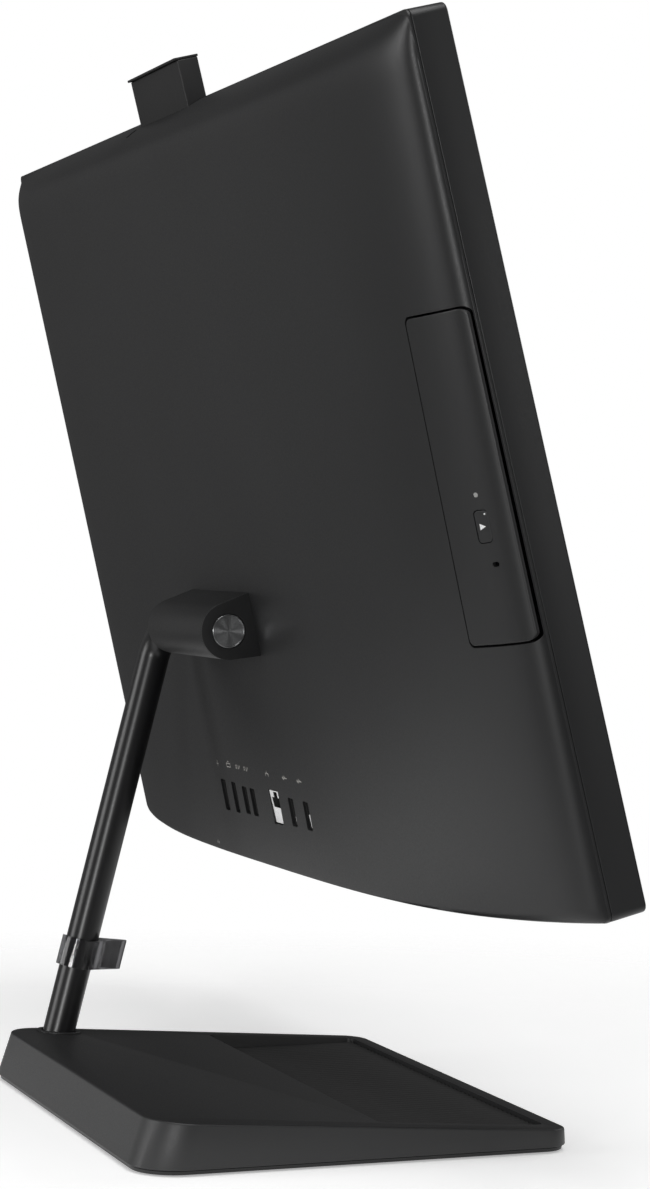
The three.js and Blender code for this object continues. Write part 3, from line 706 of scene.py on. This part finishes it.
def mid_frame():
    """The side wall with the narrow front frame round the screen."""
    lip = -SIDE_T + FRAME_LIP
    rings = edge_rings(head_outline, 0, 1, 0.5 * MM)[::-1]
    rings += edge_rings(head_outline, -SIDE_T, -1, 1.1 * MM, 5)
    rings += [window_ring(-SIDE_T), window_ring(lip)]
    rings += [head_outline(FRAME_WALL, lip), head_outline(FRAME_WALL, 0)]
    body = ring_solid("frame_wall", rings, HEAD, cyclic=True)
    camera_slot = box_n(
        -39.6 * MM, 39.6 * MM, -2.8 * MM, 2 * MM, HEAD_H - 10 * MM, HEAD_H + 5 * MM)
    button = box_n(*BUTTON_SLOT, -10.4 * MM, -5.6 * MM, -2 * MM, 6 * MM)
    carve(body, *vent_cutters(), camera_slot, button)
    smooth(body, 30)
    dress(body, "head", "frame_plastic", "mid_frame")


def screen():
    low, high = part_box("lcd_panel")
    front = -SIDE_T + SCREEN_SET_IN
    body = box_n(low.x, high.x, front, front + SCREEN_T, *SCREEN_S)
    body.name = "screen_panel"
    soften(body, 0.4 * MM, 2)
    dress(body, "head", "screen_gloss", "lcd_panel")


def speaker_bar():
    """The cloth-covered strip under the screen, rounded over at its rims."""
    def ring(inset, n):
        outline = rounded_rect(
            -GRILLE_HALF + inset, GRILLE_HALF - inset, GRILLE_S[0] + inset, GRILLE_S[1] - inset,
            max(2 * MM - inset, 0.5 * MM), steps=6)
        return [(x, n, s) for x, s in outline]
    rings = [ring(0, -SIDE_T - GAP)] + edge_rings(ring, -SIDE_T - 1.6 * MM, -1, 0.9 * MM, 4)
    body = ring_solid("speaker_cloth", rings, HEAD)
    smooth(body, 30)
    dress(body, "head", "grille_fabric", "speaker_bar")


# ---- disc drive front ----
def patch_bottom(thickness):
    return lambda depth: max(1.6 * MM, depth - thickness)


def drive_front():
    """The bezel, with holes for the eject button, the pinhole and the lamp."""
    x0, x1, s0, s1 = BEZEL
    body = surface_patch(
        "drive_front", (x0 + BEZEL_SEAM_GAP, x1, s0, s1), BEZEL_R, (60, 90),
        patch_bottom(1.4 * MM), 0.35 * MM)
    x0, x1, s0, s1 = EJECT
    ease = 0.35 * MM
    outlines = (
        rounded_rect(x0 - ease, x1 + ease, s0 - ease, s1 + ease, 1.8 * MM),
        rounded_rect(*PINHOLE, 0.9 * MM), rounded_rect(*LAMP_HOLE, 1.05 * MM))
    carve(body, *[prism_n("hole", outline, -1 * MM, 60 * MM) for outline in outlines])
    smooth(body, 40)
    dress(body, "drive_tray", "cover_plastic", "odd_bezel")


def drive_lamp():
    x0, x1, s0, s1 = LAMP_HOLE
    ease = 0.1 * MM
    lens = surface_patch(
        "drive_lamp", (x0 + ease, x1 - ease, s0 + ease, s1 - ease), 0.9 * MM, (8, 8),
        patch_bottom(2.4 * MM), 0.2 * MM)
    smooth(lens)
    # Pale grey: the lamp's lens with a painted glint on it.
    dress(lens, "drive_tray", "cover_plastic", look=LAMP_LENS_GLINT)


def eject_button():
    button = surface_patch(
        "eject_key", EJECT, 1.5 * MM, (14, 24), patch_bottom(3.4 * MM), 0.3 * MM)
    smooth(button, 40)
    dress(button, "eject", "cover_plastic", "eject_button")


INK_LIFT = 0.03 * MM


def ink_stroke(points):
    """A flat closed patch of ink lying on the cover's skin, through the points in (x, s)."""
    count = len(points)
    top = [(x, cover_depth(x, s) + INK_LIFT, s) for x, s in points]
    low = [(x, cover_depth(x, s) - INK_LIFT, s) for x, s in points]
    faces = [tuple(range(count)), tuple(range(2 * count - 1, count - 1, -1))]
    faces += [(i, (i + 1) % count, count + (i + 1) % count, count + i) for i in range(count)]
    return make_object("stroke", top + low, faces, HEAD)


MARK_WIDEN = 1.9  # stretches the pictograms across
MARK_STROKE = 0.5  # millimetres
MARK_S = 50.4  # the row's height, millimetres


def line_mark(x, s, strokes):
    """Printed lines, each from one point to another, in millimetres about (x, s)."""
    parts = []
    for ax, as_, bx, bs in strokes:
        ax, bx = MARK_WIDEN * ax, MARK_WIDEN * bx
        length = math.hypot(bx - ax, bs - as_)
        half = MARK_STROKE / 2
        dx, ds = (bx - ax) / length * half, (bs - as_) / length * half
        corners = (
            (ax - ds, as_ + dx), (bx - ds, bs + dx), (bx + ds, bs - dx), (ax + ds, as_ - dx))
        parts.append(ink_stroke([((x + a) * MM, (s + b) * MM) for a, b in corners]))
    return parts


def eject_marks():
    """A small triangle on the eject button, with a dot at its outer top corner."""
    x0, x1, s0, s1 = (v / MM for v in EJECT)
    middle = (s0 + s1) / 2
    arrow = ((x1 - 2.0, middle - 1.3), (x1 - 2.0, middle + 1.3), (x0 + 1.6, middle))
    dot = rounded_rect(x0 + 0.7, x0 + 1.5, s1 - 1.9, s1 - 1.1, 0.38, steps=3)
    parts = [ink_stroke([(x * MM, s * MM) for x, s in shape]) for shape in (arrow, dot)]
    marks = joined("eject_marks", parts)
    dress(marks, "eject", "cover_plastic", look=PALE_AND_GLINT)


# ---- sockets ----
SOCKET_MOUTH = 38.2 * MM
SOCKET_DEPTH = 12 * MM
SOCKET_WALL = 0.7 * MM
NETWORK_WALL = 1.1 * MM
BOARD_N = 19 * MM
TONGUE_T = 1.7  # millimetres, as in PORTS
CONTACTS = 4


def socket_ring(name, grow, n):
    return [(x, n, s) for x, s in slot_outline(name, grow)]


def socket_shell(name, wall):
    """A socket's shell: a rounded sleeve with a floor, open to the back."""
    rings = [
        socket_ring(name, -wall * 0.2, BOARD_N + GAP),
        socket_ring(name, -wall * 0.2, SOCKET_MOUTH - 0.2 * MM),
        socket_ring(name, -wall * 0.4, SOCKET_MOUTH),
        socket_ring(name, -wall * 0.9, SOCKET_MOUTH),
        socket_ring(name, -wall, SOCKET_MOUTH - 0.2 * MM),
        socket_ring(name, -wall, SOCKET_MOUTH - SOCKET_DEPTH),
    ]
    body = ring_solid(name.replace("port", "socket"), rings, HEAD)
    smooth(body, 30)
    dress(body, "head", "port_metal", name, look=DARK)


def socket_tongue(name, offset, setback):
    """The plastic tongue that carries a socket's contacts, with its contact strips."""
    middle, _, s0, s1, _ = PORTS[name]
    x = middle + offset
    tongue = box_n(
        (x - TONGUE_T / 2) * MM, (x + TONGUE_T / 2) * MM, 25 * MM, SOCKET_MOUTH - setback * MM,
        (s0 + 1.8) * MM, (s1 - 1.8) * MM)
    tongue.name = name.replace("port", "tongue")
    soften(tongue, 0.2 * MM, 2)
    dress(tongue, "head", "trim_plastic", look=DARK)
    strips = []
    step = (s1 - s0 - 5) / CONTACTS
    for i in range(CONTACTS):
        s = s0 + 2.5 + step * (i + 0.5)
        strips.append(box_n(
            (x - TONGUE_T / 2 - 0.15) * MM, (x - TONGUE_T / 2 + 0.1) * MM, 26 * MM,
            SOCKET_MOUTH - (setback + 0.6) * MM, (s - 0.5) * MM, (s + 0.5) * MM))
    contacts = joined(name.replace("port", "contacts"), strips)
    dress(contacts, "head", "port_metal")


def network_face():
    """The network socket's bright front: a thin plate, open above its middle in two steps."""
    middle, width, s0, s1, _ = PORTS["port_ethernet"]
    x0, x1 = middle - width / 2 + 0.4, middle + width / 2 - 0.4
    front = SOCKET_MOUTH + 0.7 * MM
    plate = box_n(x0 * MM, x1 * MM, front - 0.4 * MM, front, (s0 + 0.5) * MM, (s1 - 0.4) * MM)
    plate.name = "network_face"
    opening = box_n(
        (x0 - 1) * MM, (x1 - 1.3) * MM, 30 * MM, 45 * MM, (s0 + 8.4) * MM, (s1 - 3.8) * MM)
    notch = box_n(
        (x0 + 2.6) * MM, (x1 - 4.6) * MM, 30 * MM, 45 * MM, (s0 + 12) * MM, (s1 - 0.9) * MM)
    carve(plate, fuse(opening, notch))
    soften(plate, 0.1 * MM, 2)
    dress(plate, "head", "port_metal", look=PALE_AND_GLINT)


def usb2_painted_glints():
    """Painted highlights: pale strips in the lower half of two sockets, where the edge of the metal shell glints.
    """
    for name, low, high in (("port_usb2_a", 1.6, 5.0), ("port_usb2_b", 1.6, 8.0)):
        middle, width, s0, _, _ = PORTS[name]
        x = middle - width / 2
        strip = box_n(
            (x + 0.1) * MM, (x + 0.5) * MM, 37 * MM, 39.5 * MM, (s0 + low) * MM, (s0 + high) * MM)
        strip.name = name.replace("port", "painted_glint")
        soften(strip, 0.1 * MM, 2)
        # Matt near-white: a painted glint, standing in for light off the shell's edge.
        dress(strip, "head", "port_metal", look=PALE_AND_GLINT)


def socket_marks():
    """Plain generic pictograms over the sockets and one by the power button."""
    fork = (
        (-1.6, 0, 1.8, 0), (-0.6, 0, 0.5, 1.1), (0.2, 0, 1.1, -1.0), (1.8, 0, 1.2, 0.6),
        (1.8, 0, 1.2, -0.6))
    marks = []
    marks += line_mark(59, MARK_S, ((0, 1.4, 0, 0.2), (-0.8, -0.4, 0.8, -0.4), (0, -0.9, 0, -1.9)))
    marks += line_mark(40.9, MARK_S, (
        (-1.6, 0.9, 1.6, 0.9), (-1.6, -0.9, 1.6, -0.9), (-1.6, 0.9, -1.6, -0.9),
        (1.6, 0.9, 1.6, -0.9), (-0.6, 1.9, 0.6, 1.9)))
    for x in (25.9, 13.1):
        marks += line_mark(x, MARK_S, (
            (-1.8, 1.1, -0.6, -0.9), (-0.6, 1.1, -0.1, -0.9), (0.6, 0.9, 1.6, 0.9),
            (1.6, 0.9, 0.8, -0.6), (0.8, -0.6, 1.8, -0.6)))
    marks += line_mark(-19.3, MARK_S, (
        (0, 1.8, 0, 0.3), (-1.1, 0.3, 1.1, 0.3), (-1.1, 0.3, -1.1, -1.1), (1.1, 0.3, 1.1, -1.1)))
    for x in (-45.3, -66.2):
        marks += line_mark(x, MARK_S, fork)
    marks += line_mark(85, 6.5, ((0, 1.1, 0, -0.1), (-0.9, 0.3, -0.7, -0.9), (0.9, 0.3, 0.7, -0.9)))
    body = joined("socket_marks", marks)
    dress(body, "head", "cover_plastic", look=INK)


def sockets():
    for name in PORTS:
        socket_shell(name, NETWORK_WALL if name == "port_ethernet" else SOCKET_WALL)
    socket_tongue("port_hdmi", 0.3, 2.2)
    for name in ("port_usb3_a", "port_usb3_b", "port_usb2_a", "port_usb2_b"):
        socket_tongue(name, 0.9, 1.4)
    network_face()
    usb2_painted_glints()
    socket_marks()


# ---- hinge ----
def block_outline(steps=40):
    """Section of the hinge block in (n, s): a round back, tangent sides and a flat foot."""
    foot = BLOCK_FOOT_N - 2.2 * MM
    reach = AXIS_N - BLOCK_FOOT_N
    span = math.hypot(reach, BLOCK_RISE)
    turn = math.atan2(BLOCK_RISE, -reach) - math.acos(BLOCK_R / span)
    points = []
    for i in range(steps + 1):
        a = -turn + 2 * turn * i / steps
        points.append((AXIS_N + BLOCK_R * math.cos(a), AXIS_S + BLOCK_R * math.sin(a)))
    slope = (BLOCK_RISE - BLOCK_R * math.sin(turn)) / (reach + BLOCK_R * math.cos(turn))
    rise = BLOCK_RISE + slope * (BLOCK_FOOT_N - foot)
    points.append((foot, AXIS_S + rise))
    points.append((foot, AXIS_S - rise))
    return points


def drawn_in(outline, margin):
    """A closed outline moved inwards by a margin."""
    count = len(outline)
    points = []
    for i, (x, y) in enumerate(outline):
        ax, ay = outline[i - 1]
        bx, by = outline[(i + 1) % count]
        dx, dy = bx - ax, by - ay
        size = math.hypot(dx, dy)
        points.append((x - dy / size * margin, y + dx / size * margin))
    return points


def hinge_end(side):
    return Vector((side * BLOCK_HALF, HINGE.y, HINGE.z))


def hinge_housing():
    """The housing, with a fine groove behind its end plate, a seat for the cap and a bore."""
    whole = block_outline()
    small = drawn_in(whole, 0.45 * MM)
    groove = -BLOCK_HALF + END_PLATE
    sections = (
        (whole, -BLOCK_HALF), (whole, groove), (small, groove), (small, groove + GROOVE),
        (whole, groove + GROOVE), (whole, BLOCK_HALF),
    )
    rings = [[(x, n, s) for n, s in outline] for outline, x in sections]
    body = ring_solid("hinge_housing", rings, HEAD)
    soften(body, 0.12 * MM, 3, 25)
    seat_r, bore_r = CAP_R + GAP, TUBE_R + TUBE_EASE
    seat = lathe_x("seat", ((seat_r, -5 * MM), (seat_r, 1.8 * MM)), hinge_end(-1))
    bore = lathe_x("bore", ((bore_r, -25.5 * MM), (bore_r, 5 * MM)), hinge_end(1))
    carve(body, seat, bore)
    smooth(body, 40)
    dress(body, "head", "hinge_plastic", "hinge_block")


def hinge_cap():
    """The metal disc in the housing's end, with fine turned rings and a chamfered rim."""
    profile = [(0.05 * MM, CAP_FACE), (0.6 * MM, CAP_FACE)]
    for i in range(CAP_GROOVES):
        r = 0.6 * MM + (CAP_R - 1.4 * MM) * (i + 0.5) / CAP_GROOVES
        profile.append((r, CAP_FACE - 0.02 * MM * (i % 2)))
    profile += [(CAP_R - 0.7 * MM, CAP_FACE), (CAP_R - 0.5 * MM, 0.05 * MM)]
    profile += [(CAP_R - 0.15 * MM, 0.05 * MM), (CAP_R, 0.2 * MM), (CAP_R, 1.5 * MM)]
    cap = lathe_x("hinge_cap_disc", profile, hinge_end(-1), 128)
    smooth(cap, 50)
    dress(cap, "head", "cap_metal", "hinge_cap")


# ---- column and clip ----
TUBE_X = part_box("column_tube")[1].x - TUBE_R
LEAN = math.atan2(-JOINTS["clip_slide"]["axis"][1], JOINTS["clip_slide"]["axis"][2])
TUBE_UP = Vector((0, -math.sin(LEAN), math.cos(LEAN)))


def column_point(down):
    """A point on the column's straight middle line, below the hinge axis."""
    return Vector((TUBE_X, HINGE.y, HINGE.z)) - TUBE_UP * down


def column_path(elbow_steps=24):
    """The middle line's points, each with the direction that the tube runs in there."""
    length = (HINGE.z - TUBE_FOOT_Z) / math.cos(LEAN)
    path = [(column_point(length), TUBE_UP)]
    for i in range(elbow_steps + 1):
        a = math.pi / 2 * i / elbow_steps
        point = column_point(TUBE_BEND * (1 - math.sin(a)))
        point.x -= TUBE_BEND * (1 - math.cos(a))
        path.append((point, TUBE_UP * math.cos(a) - Vector((math.sin(a), 0, 0))))
    path.append((Vector((TUBE_PLUG_X, HINGE.y, HINGE.z)), Vector((-1, 0, 0))))
    return path


def column(sides=64):
    across = Vector((1, 0, 0)).cross(TUBE_UP).normalized()
    rings = []
    for point, along in column_path():
        other = along.cross(across).normalized()
        rings.append([point + across * u + other * v for u, v in circle(TUBE_R, sides)])
    body = ring_solid("column", rings)
    smooth(body, 40)
    dress(body, "stand", "tube_gloss", "column_tube")


def base_top(y):
    """How high the base's sloping top is at y."""
    low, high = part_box("base_shell")
    t = (y - low.y) / (high.y - low.y)
    return BASE_FRONT_H + (BASE_BACK_H - BASE_FRONT_H) * t


COLLAR = (  # section of the collar in (radius, height), millimetres; the hole is the oval part
    (8.35, 0.05), (11.2, 0.05), (11.2, 0.55), (10.9, 0.8), (8.6, 0.8), (8.35, 0.6))
COLLAR_HOLE_R = 9


def collar():
    """The thin ring where the column enters the base."""
    slope = math.atan2(BASE_BACK_H - BASE_FRONT_H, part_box("base_shell")[1].y * 2)
    rise = math.tan(slope)
    y = (HINGE.y + (HINGE.z - base_top(0)) * math.tan(LEAN)) / (1 + rise * math.tan(LEAN))
    turn = Matrix.Translation((TUBE_X, y, base_top(y))) @ Matrix.Rotation(slope, 4, "X")
    rings = []
    for r, z in COLLAR:
        stretch = 1 / math.cos(LEAN + slope) if r < COLLAR_HOLE_R else 1.0
        rings.append([(a, b * stretch, z * MM) for a, b in circle(r * MM, 64)])
    body = ring_solid("collar", rings, turn, cyclic=True)
    smooth(body, 30)
    dress(body, "stand", "base_plastic", "column_collar")


CLIP_AT = 61 * MM
CLIP_HALF_H = 7.3 * MM
CLIP_WALL = 1.6 * MM
LOOP_HALF = 9.5 * MM
LOOP_REACH = 20 * MM
LOOP_HOLE = ((-7.9, -18.2), (-7.2, -18.2), (2.4, -10.2), (-7.9, -10.2))  # millimetres
SLIT = (2 * MM, 20 * MM, 5.2 * MM, 20 * MM)  # x0, x1, y0, y1
LOOP_START = -2 * MM


def clip_slab(name, outline, turn, grow=0.0):
    """An outline in the clip's own (x, y), as high as the clip and a little more."""
    half = CLIP_HALF_H + grow
    return ring_solid(name, [[(x, y, z) for x, y in outline] for z in (-half, half)], turn)


def level_loop(body, turn):
    """Shears the loop in front of the ring so that its long edges lie level."""
    body.data.transform(turn.inverted())
    for vertex in body.data.vertices:
        if vertex.co.y < LOOP_START:
            vertex.co.z += (LOOP_START - vertex.co.y) * math.tan(LEAN)
    body.data.transform(turn)


def cable_clip():
    """A split ring on the column with a four-sided loop in front of it."""
    place = column_point((HINGE.z - CLIP_AT) / math.cos(LEAN))
    turn = Matrix.Translation(place) @ Matrix.Rotation(LEAN, 4, "X")
    bore = TUBE_R + GAP
    loop = (
        (-LOOP_HALF, -LOOP_REACH), (-LOOP_HALF + 3 * MM, -LOOP_REACH), (LOOP_HALF, -6 * MM),
        (LOOP_HALF, -MM), (-LOOP_HALF, -MM))
    x0, x1, y0, y1 = SLIT
    slit = ((x0, y0), (x1, y0), (x1, y1), (x0, y1))
    hole = [(x * MM, y * MM) for x, y in LOOP_HOLE]
    body = fuse(
        clip_slab("clip", circle(bore + CLIP_WALL, 64), turn), clip_slab("loop", loop, turn))
    for name, outline in (("bore", circle(bore, 64)), ("inside", hole), ("slit", slit)):
        carve(body, clip_slab(name, outline, turn, MM))
    level_loop(body, turn)
    soften(body, 0.3 * MM, 3, 40)
    dress(body, "clip", "clip_smoke", "cable_clip")


# ---- base ----
def base_outline(side, back, front, height, steps=14):
    """The base's outline drawn in by a margin on the sides, the back and the front."""
    low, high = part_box("base_shell")
    outline = rounded_rect(
        low.x + side, high.x - side, low.y + front, high.y - back,
        BASE_FRONT_R - min(side, 4 * MM), BASE_BACK_R - min(side, 4 * MM), steps)
    return [(x, y, height(y)) for x, y in outline]


def tray_box():
    """The recess in the base's top: the mat's own box, with the gap round it."""
    low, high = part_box("tray_mat")
    return low.x - TRAY_GAP, high.x + TRAY_GAP, low.y - TRAY_GAP, high.y + TRAY_GAP


def base_body():
    def ring(inset, drop):
        return base_outline(
            BASE_SIDE_INSET + inset, BASE_BACK_INSET + inset, 0.2 * MM + inset,
            lambda y: base_top(y) - drop)
    edge = 1.1 * MM
    rings = [
        base_outline(0.5 * MM, 0.5 * MM, 0.5 * MM, lambda y: BASE_LIFT),
        base_outline(0.12 * MM, 0.12 * MM, 0.12 * MM, lambda y: BASE_LIFT + 0.15 * MM),
        base_outline(0, 0, 0, lambda y: BASE_LIFT + 0.5 * MM),
    ]
    for i in range(6):
        a = math.pi / 2 * i / 5
        rings.append(ring(edge * (1 - math.cos(a)), edge * (1 - math.sin(a))))
    body = ring_solid("base_body", rings)
    recess = rounded_rect(*tray_box(), TRAY_R, steps=8)
    recess = ring_solid("recess", [[(x, y, z) for x, y in recess] for z in (TRAY_FLOOR, 40 * MM)])
    carve(body, recess, column_well())
    soften(body, 0.45 * MM, 3, 40)
    dress(body, "stand", "base_plastic", "base_shell")


def column_well(sides=64):
    """The leaning hole that the column stands in."""
    across = Vector((1, 0, 0)).cross(TUBE_UP).normalized()
    foot = HINGE.z / math.cos(LEAN)
    rings = []
    for down in (foot - 5 * MM, foot - 50 * MM):
        middle = column_point(down)
        rings.append([
            middle + across * u + Vector((v, 0, 0)) for u, v in circle(TUBE_R + TUBE_EASE, sides)])
    return ring_solid("well", rings)


def tray_ribs():
    """The mat in the recess, with fine round ribs from back to front."""
    low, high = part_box("tray_mat")
    valley = high.z - RIB_H
    count = int((high.x - low.x) / RIB_PITCH)
    pitch = (high.x - low.x) / count
    section = [(low.x, valley)]
    for i in range(count):
        for k in range(8):
            t = (k + 0.5) / 8
            section.append((low.x + (i + t) * pitch, valley + RIB_H * math.sin(math.pi * t)))
    section += [(high.x, valley), (high.x, low.z), (low.x, low.z)]
    rings = [[(x, y, z) for x, z in section] for y in (low.y, high.y)]
    body = ring_solid("tray_ribs", rings)
    smooth(body, 60)
    dress(body, "stand", "pad_rubber", "tray_mat")


def round_well(x, y, r, top, sides=48):
    rings = [[(x + u, y + v, z) for u, v in circle(r, sides)] for z in (-1 * MM, top)]
    return ring_solid("round_well", rings)


def bottom_plate():
    """The plate under the base, with wells for the feet and for the column's bolt."""
    top = BASE_LIFT - GAP
    sections = (  # margin at the sides, margin at the ends, height
        (2.6 * MM, 2.0 * MM, 0.6 * MM), (2.0 * MM, 1.5 * MM, 0.9 * MM),
        (1.6 * MM, 1.2 * MM, top - 0.2 * MM), (1.9 * MM, 1.5 * MM, top))
    rings = [base_outline(side, end, end, lambda y: z) for side, end, z in sections]
    body = ring_solid("underplate", rings)
    wells = []
    for foot in FEET:
        low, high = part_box(foot)
        middle = (low + high) / 2
        wells.append(round_well(middle.x, middle.y, 8.3 * MM, 2.05 * MM))
    bolt = column_point((HINGE.z - TUBE_FOOT_Z) / math.cos(LEAN))
    wells.append(round_well(bolt.x, bolt.y, 9 * MM, 5 * MM))
    carve(body, *wells)
    smooth(body, 30)
    dress(body, "stand", "trim_plastic", "base_bottom_plate")


# ---- camera ----
CAM_N = (-2.3 * MM, 8 * MM)
CAM_S = (353.9 * MM, 392.3 * MM)
CAM_EYE_R = 3.6 * MM
CAM_EYE_S = CAM_S[1] - 9.4 * MM
CAM_TOP_T = 1.15 * MM
CAM_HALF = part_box("camera_housing")[1].x


def camera_body():
    """The block that rises out of the head, with a round well for the lens in its front."""
    body = box_n(-CAM_HALF, CAM_HALF, *CAM_N, *CAM_S)
    body.name = "camera_body"
    soften(body, 0.5 * MM, 3)
    ring = [(x, CAM_EYE_S + s) for x, s in circle(CAM_EYE_R, 48)]
    carve(body, prism_n("eye", ring, CAM_N[0] - 2 * MM, CAM_N[0] + 2.2 * MM))
    smooth(body, 40)
    dress(body, "camera", "trim_plastic", "camera_housing")


def camera_top():
    """The thin cap over the block, which overhangs it at the back."""
    low = CAM_S[1] + 0.05 * MM
    cap = box_n(
        -CAM_HALF, CAM_HALF, CAM_N[0] - 0.4 * MM, CAM_N[1] + 1.5 * MM, low, low + CAM_TOP_T)
    cap.name = "camera_top"
    soften(cap, 0.25 * MM, 3)
    dress(cap, "camera", "trim_plastic", "camera_cap")


# ---- carried-over nodes ----
def paint_nodes():
    """Every CAD node that still shows gets the look of its own slot."""
    for part in frame["record"]["subparts"]:
        node = frame["nodes"][part["node"]]
        node.data.materials.clear()
        node.data.materials.append(LOOKS[part["material_slot"]])


# ---- studio ----
VIEW_FROM = Vector((-1.42551, 0.46540, 0.27078))
VIEW_YAW = math.radians(-19.853)
VIEW_PITCH = math.radians(-1.048)
VIEW_ROLL = math.radians(0.5475)
VIEW_LENS = 92.88


def view_camera():
    data = bpy.data.cameras.new("view")
    data.lens = VIEW_LENS
    data.sensor_width = 36
    data.clip_start = 0.05
    obj = bpy.data.objects.new("view", data)
    obj.matrix_world = (
        Matrix.Translation(VIEW_FROM) @ Matrix.Rotation(VIEW_YAW - math.pi / 2, 4, "Z")
        @ Matrix.Rotation(VIEW_PITCH + math.pi / 2, 4, "X") @ Matrix.Rotation(VIEW_ROLL, 4, "Z"))
    bpy.context.scene.collection.objects.link(obj)
    bpy.context.scene.camera = obj


PAPER_FADE = (0.28, 0.62)  # how far out the paper starts and ends fading


def softbox(name, place, target, size, power):
    data = bpy.data.lights.new(name, "AREA")
    data.shape = "RECTANGLE"
    data.size, data.size_y = size
    data.energy = power
    obj = bpy.data.objects.new(name, data)
    place, target = Vector(place), Vector(target)
    obj.location = place
    obj.rotation_euler = (target - place).to_track_quat("-Z", "Y").to_euler()
    bpy.context.scene.collection.objects.link(obj)


def fading_paper():
    """White paper that fades out away from the object, so that it has no visible far edge."""
    paper = Look("paper", (0.9, 0.9, 0.9), 0.9)
    paper.varied_roughness(paper.noise(40, 2), 0.85, 0.95)
    paper.set("Emission Color", (1, 1, 1, 1)).set("Emission Strength", 0.36)
    reach = paper.node("ShaderNodeVectorMath", operation="LENGTH")
    paper.link(paper.place, reach.inputs[0])
    fade = paper.ranged(reach.outputs["Value"], 1.0, 0.0, PAPER_FADE)
    paper.link(fade, paper.shader.inputs["Alpha"])
    return paper.material


def floor(half=2.0):
    corners = [(-half, -half, 0), (half, -half, 0), (half, half, 0), (-half, half, 0)]
    sheet = make_object("floor", corners, [(0, 1, 2, 3)])
    sheet.data.materials.append(fading_paper())


def white_world():
    """White where the view meets it, straight or through the clip, and a weak fill elsewhere."""
    world = bpy.data.worlds.new("studio")
    world.use_nodes = True
    tree = world.node_tree
    tree.nodes.clear()
    seen = tree.nodes.new("ShaderNodeLightPath")
    either = tree.nodes.new("ShaderNodeMath")
    either.operation = "MAXIMUM"
    tree.links.new(seen.outputs["Is Camera Ray"], either.inputs[0])
    tree.links.new(seen.outputs["Is Transmission Ray"], either.inputs[1])
    mix = tree.nodes.new("ShaderNodeMixShader")
    tree.links.new(either.outputs["Value"], mix.inputs["Fac"])
    for socket, strength in ((1, 0.1), (2, 1.0)):
        light = tree.nodes.new("ShaderNodeBackground")
        light.inputs["Color"].default_value = (1, 1, 1, 1)
        light.inputs["Strength"].default_value = strength
        tree.links.new(light.outputs[0], mix.inputs[socket])
    out = tree.nodes.new("ShaderNodeOutputWorld")
    tree.links.new(mix.outputs[0], out.inputs["Surface"])
    bpy.context.scene.world = world
    bpy.context.scene.view_settings.view_transform = "Standard"


def lights():
    """Soft boxes: name, place, what it points at, size, power."""
    softbox("overhead", (-0.9, 0.3, 2.3), (-0.1, 0, 0), (2.0, 2.0), 40)
    softbox("key", (0.5, 2.8, 0.8), (-0.1, 0, 0.3), (1.2, 1.7), 27)
    softbox("far", (2.7, 1.5, 0.5), (0.1, 0, 0.3), (1.2, 1.6), 1.2)
    softbox("wedge", (-2.2, 1.9, 0.2), (-0.3, 0, 0.25), (0.4, 0.5), 20)
    softbox("side", (-2.6, -1.3, 0.6), (-0.2, 0, 0.25), (1.2, 1.2), 4.5)
    softbox("front", (0.4, -2.8, 1.5), (0, 0, 0.2), (2.4, 1.2), 16)


# ---- build ----
paint_nodes()
rear_cover()
mid_frame()
screen()
speaker_bar()
drive_front()
drive_lamp()
eject_button()
eject_marks()
sockets()
hinge_housing()
hinge_cap()
column()
collar()
cable_clip()
base_body()
tray_ribs()
bottom_plate()
camera_body()
camera_top()
view_camera()
floor()
white_world()
lights()
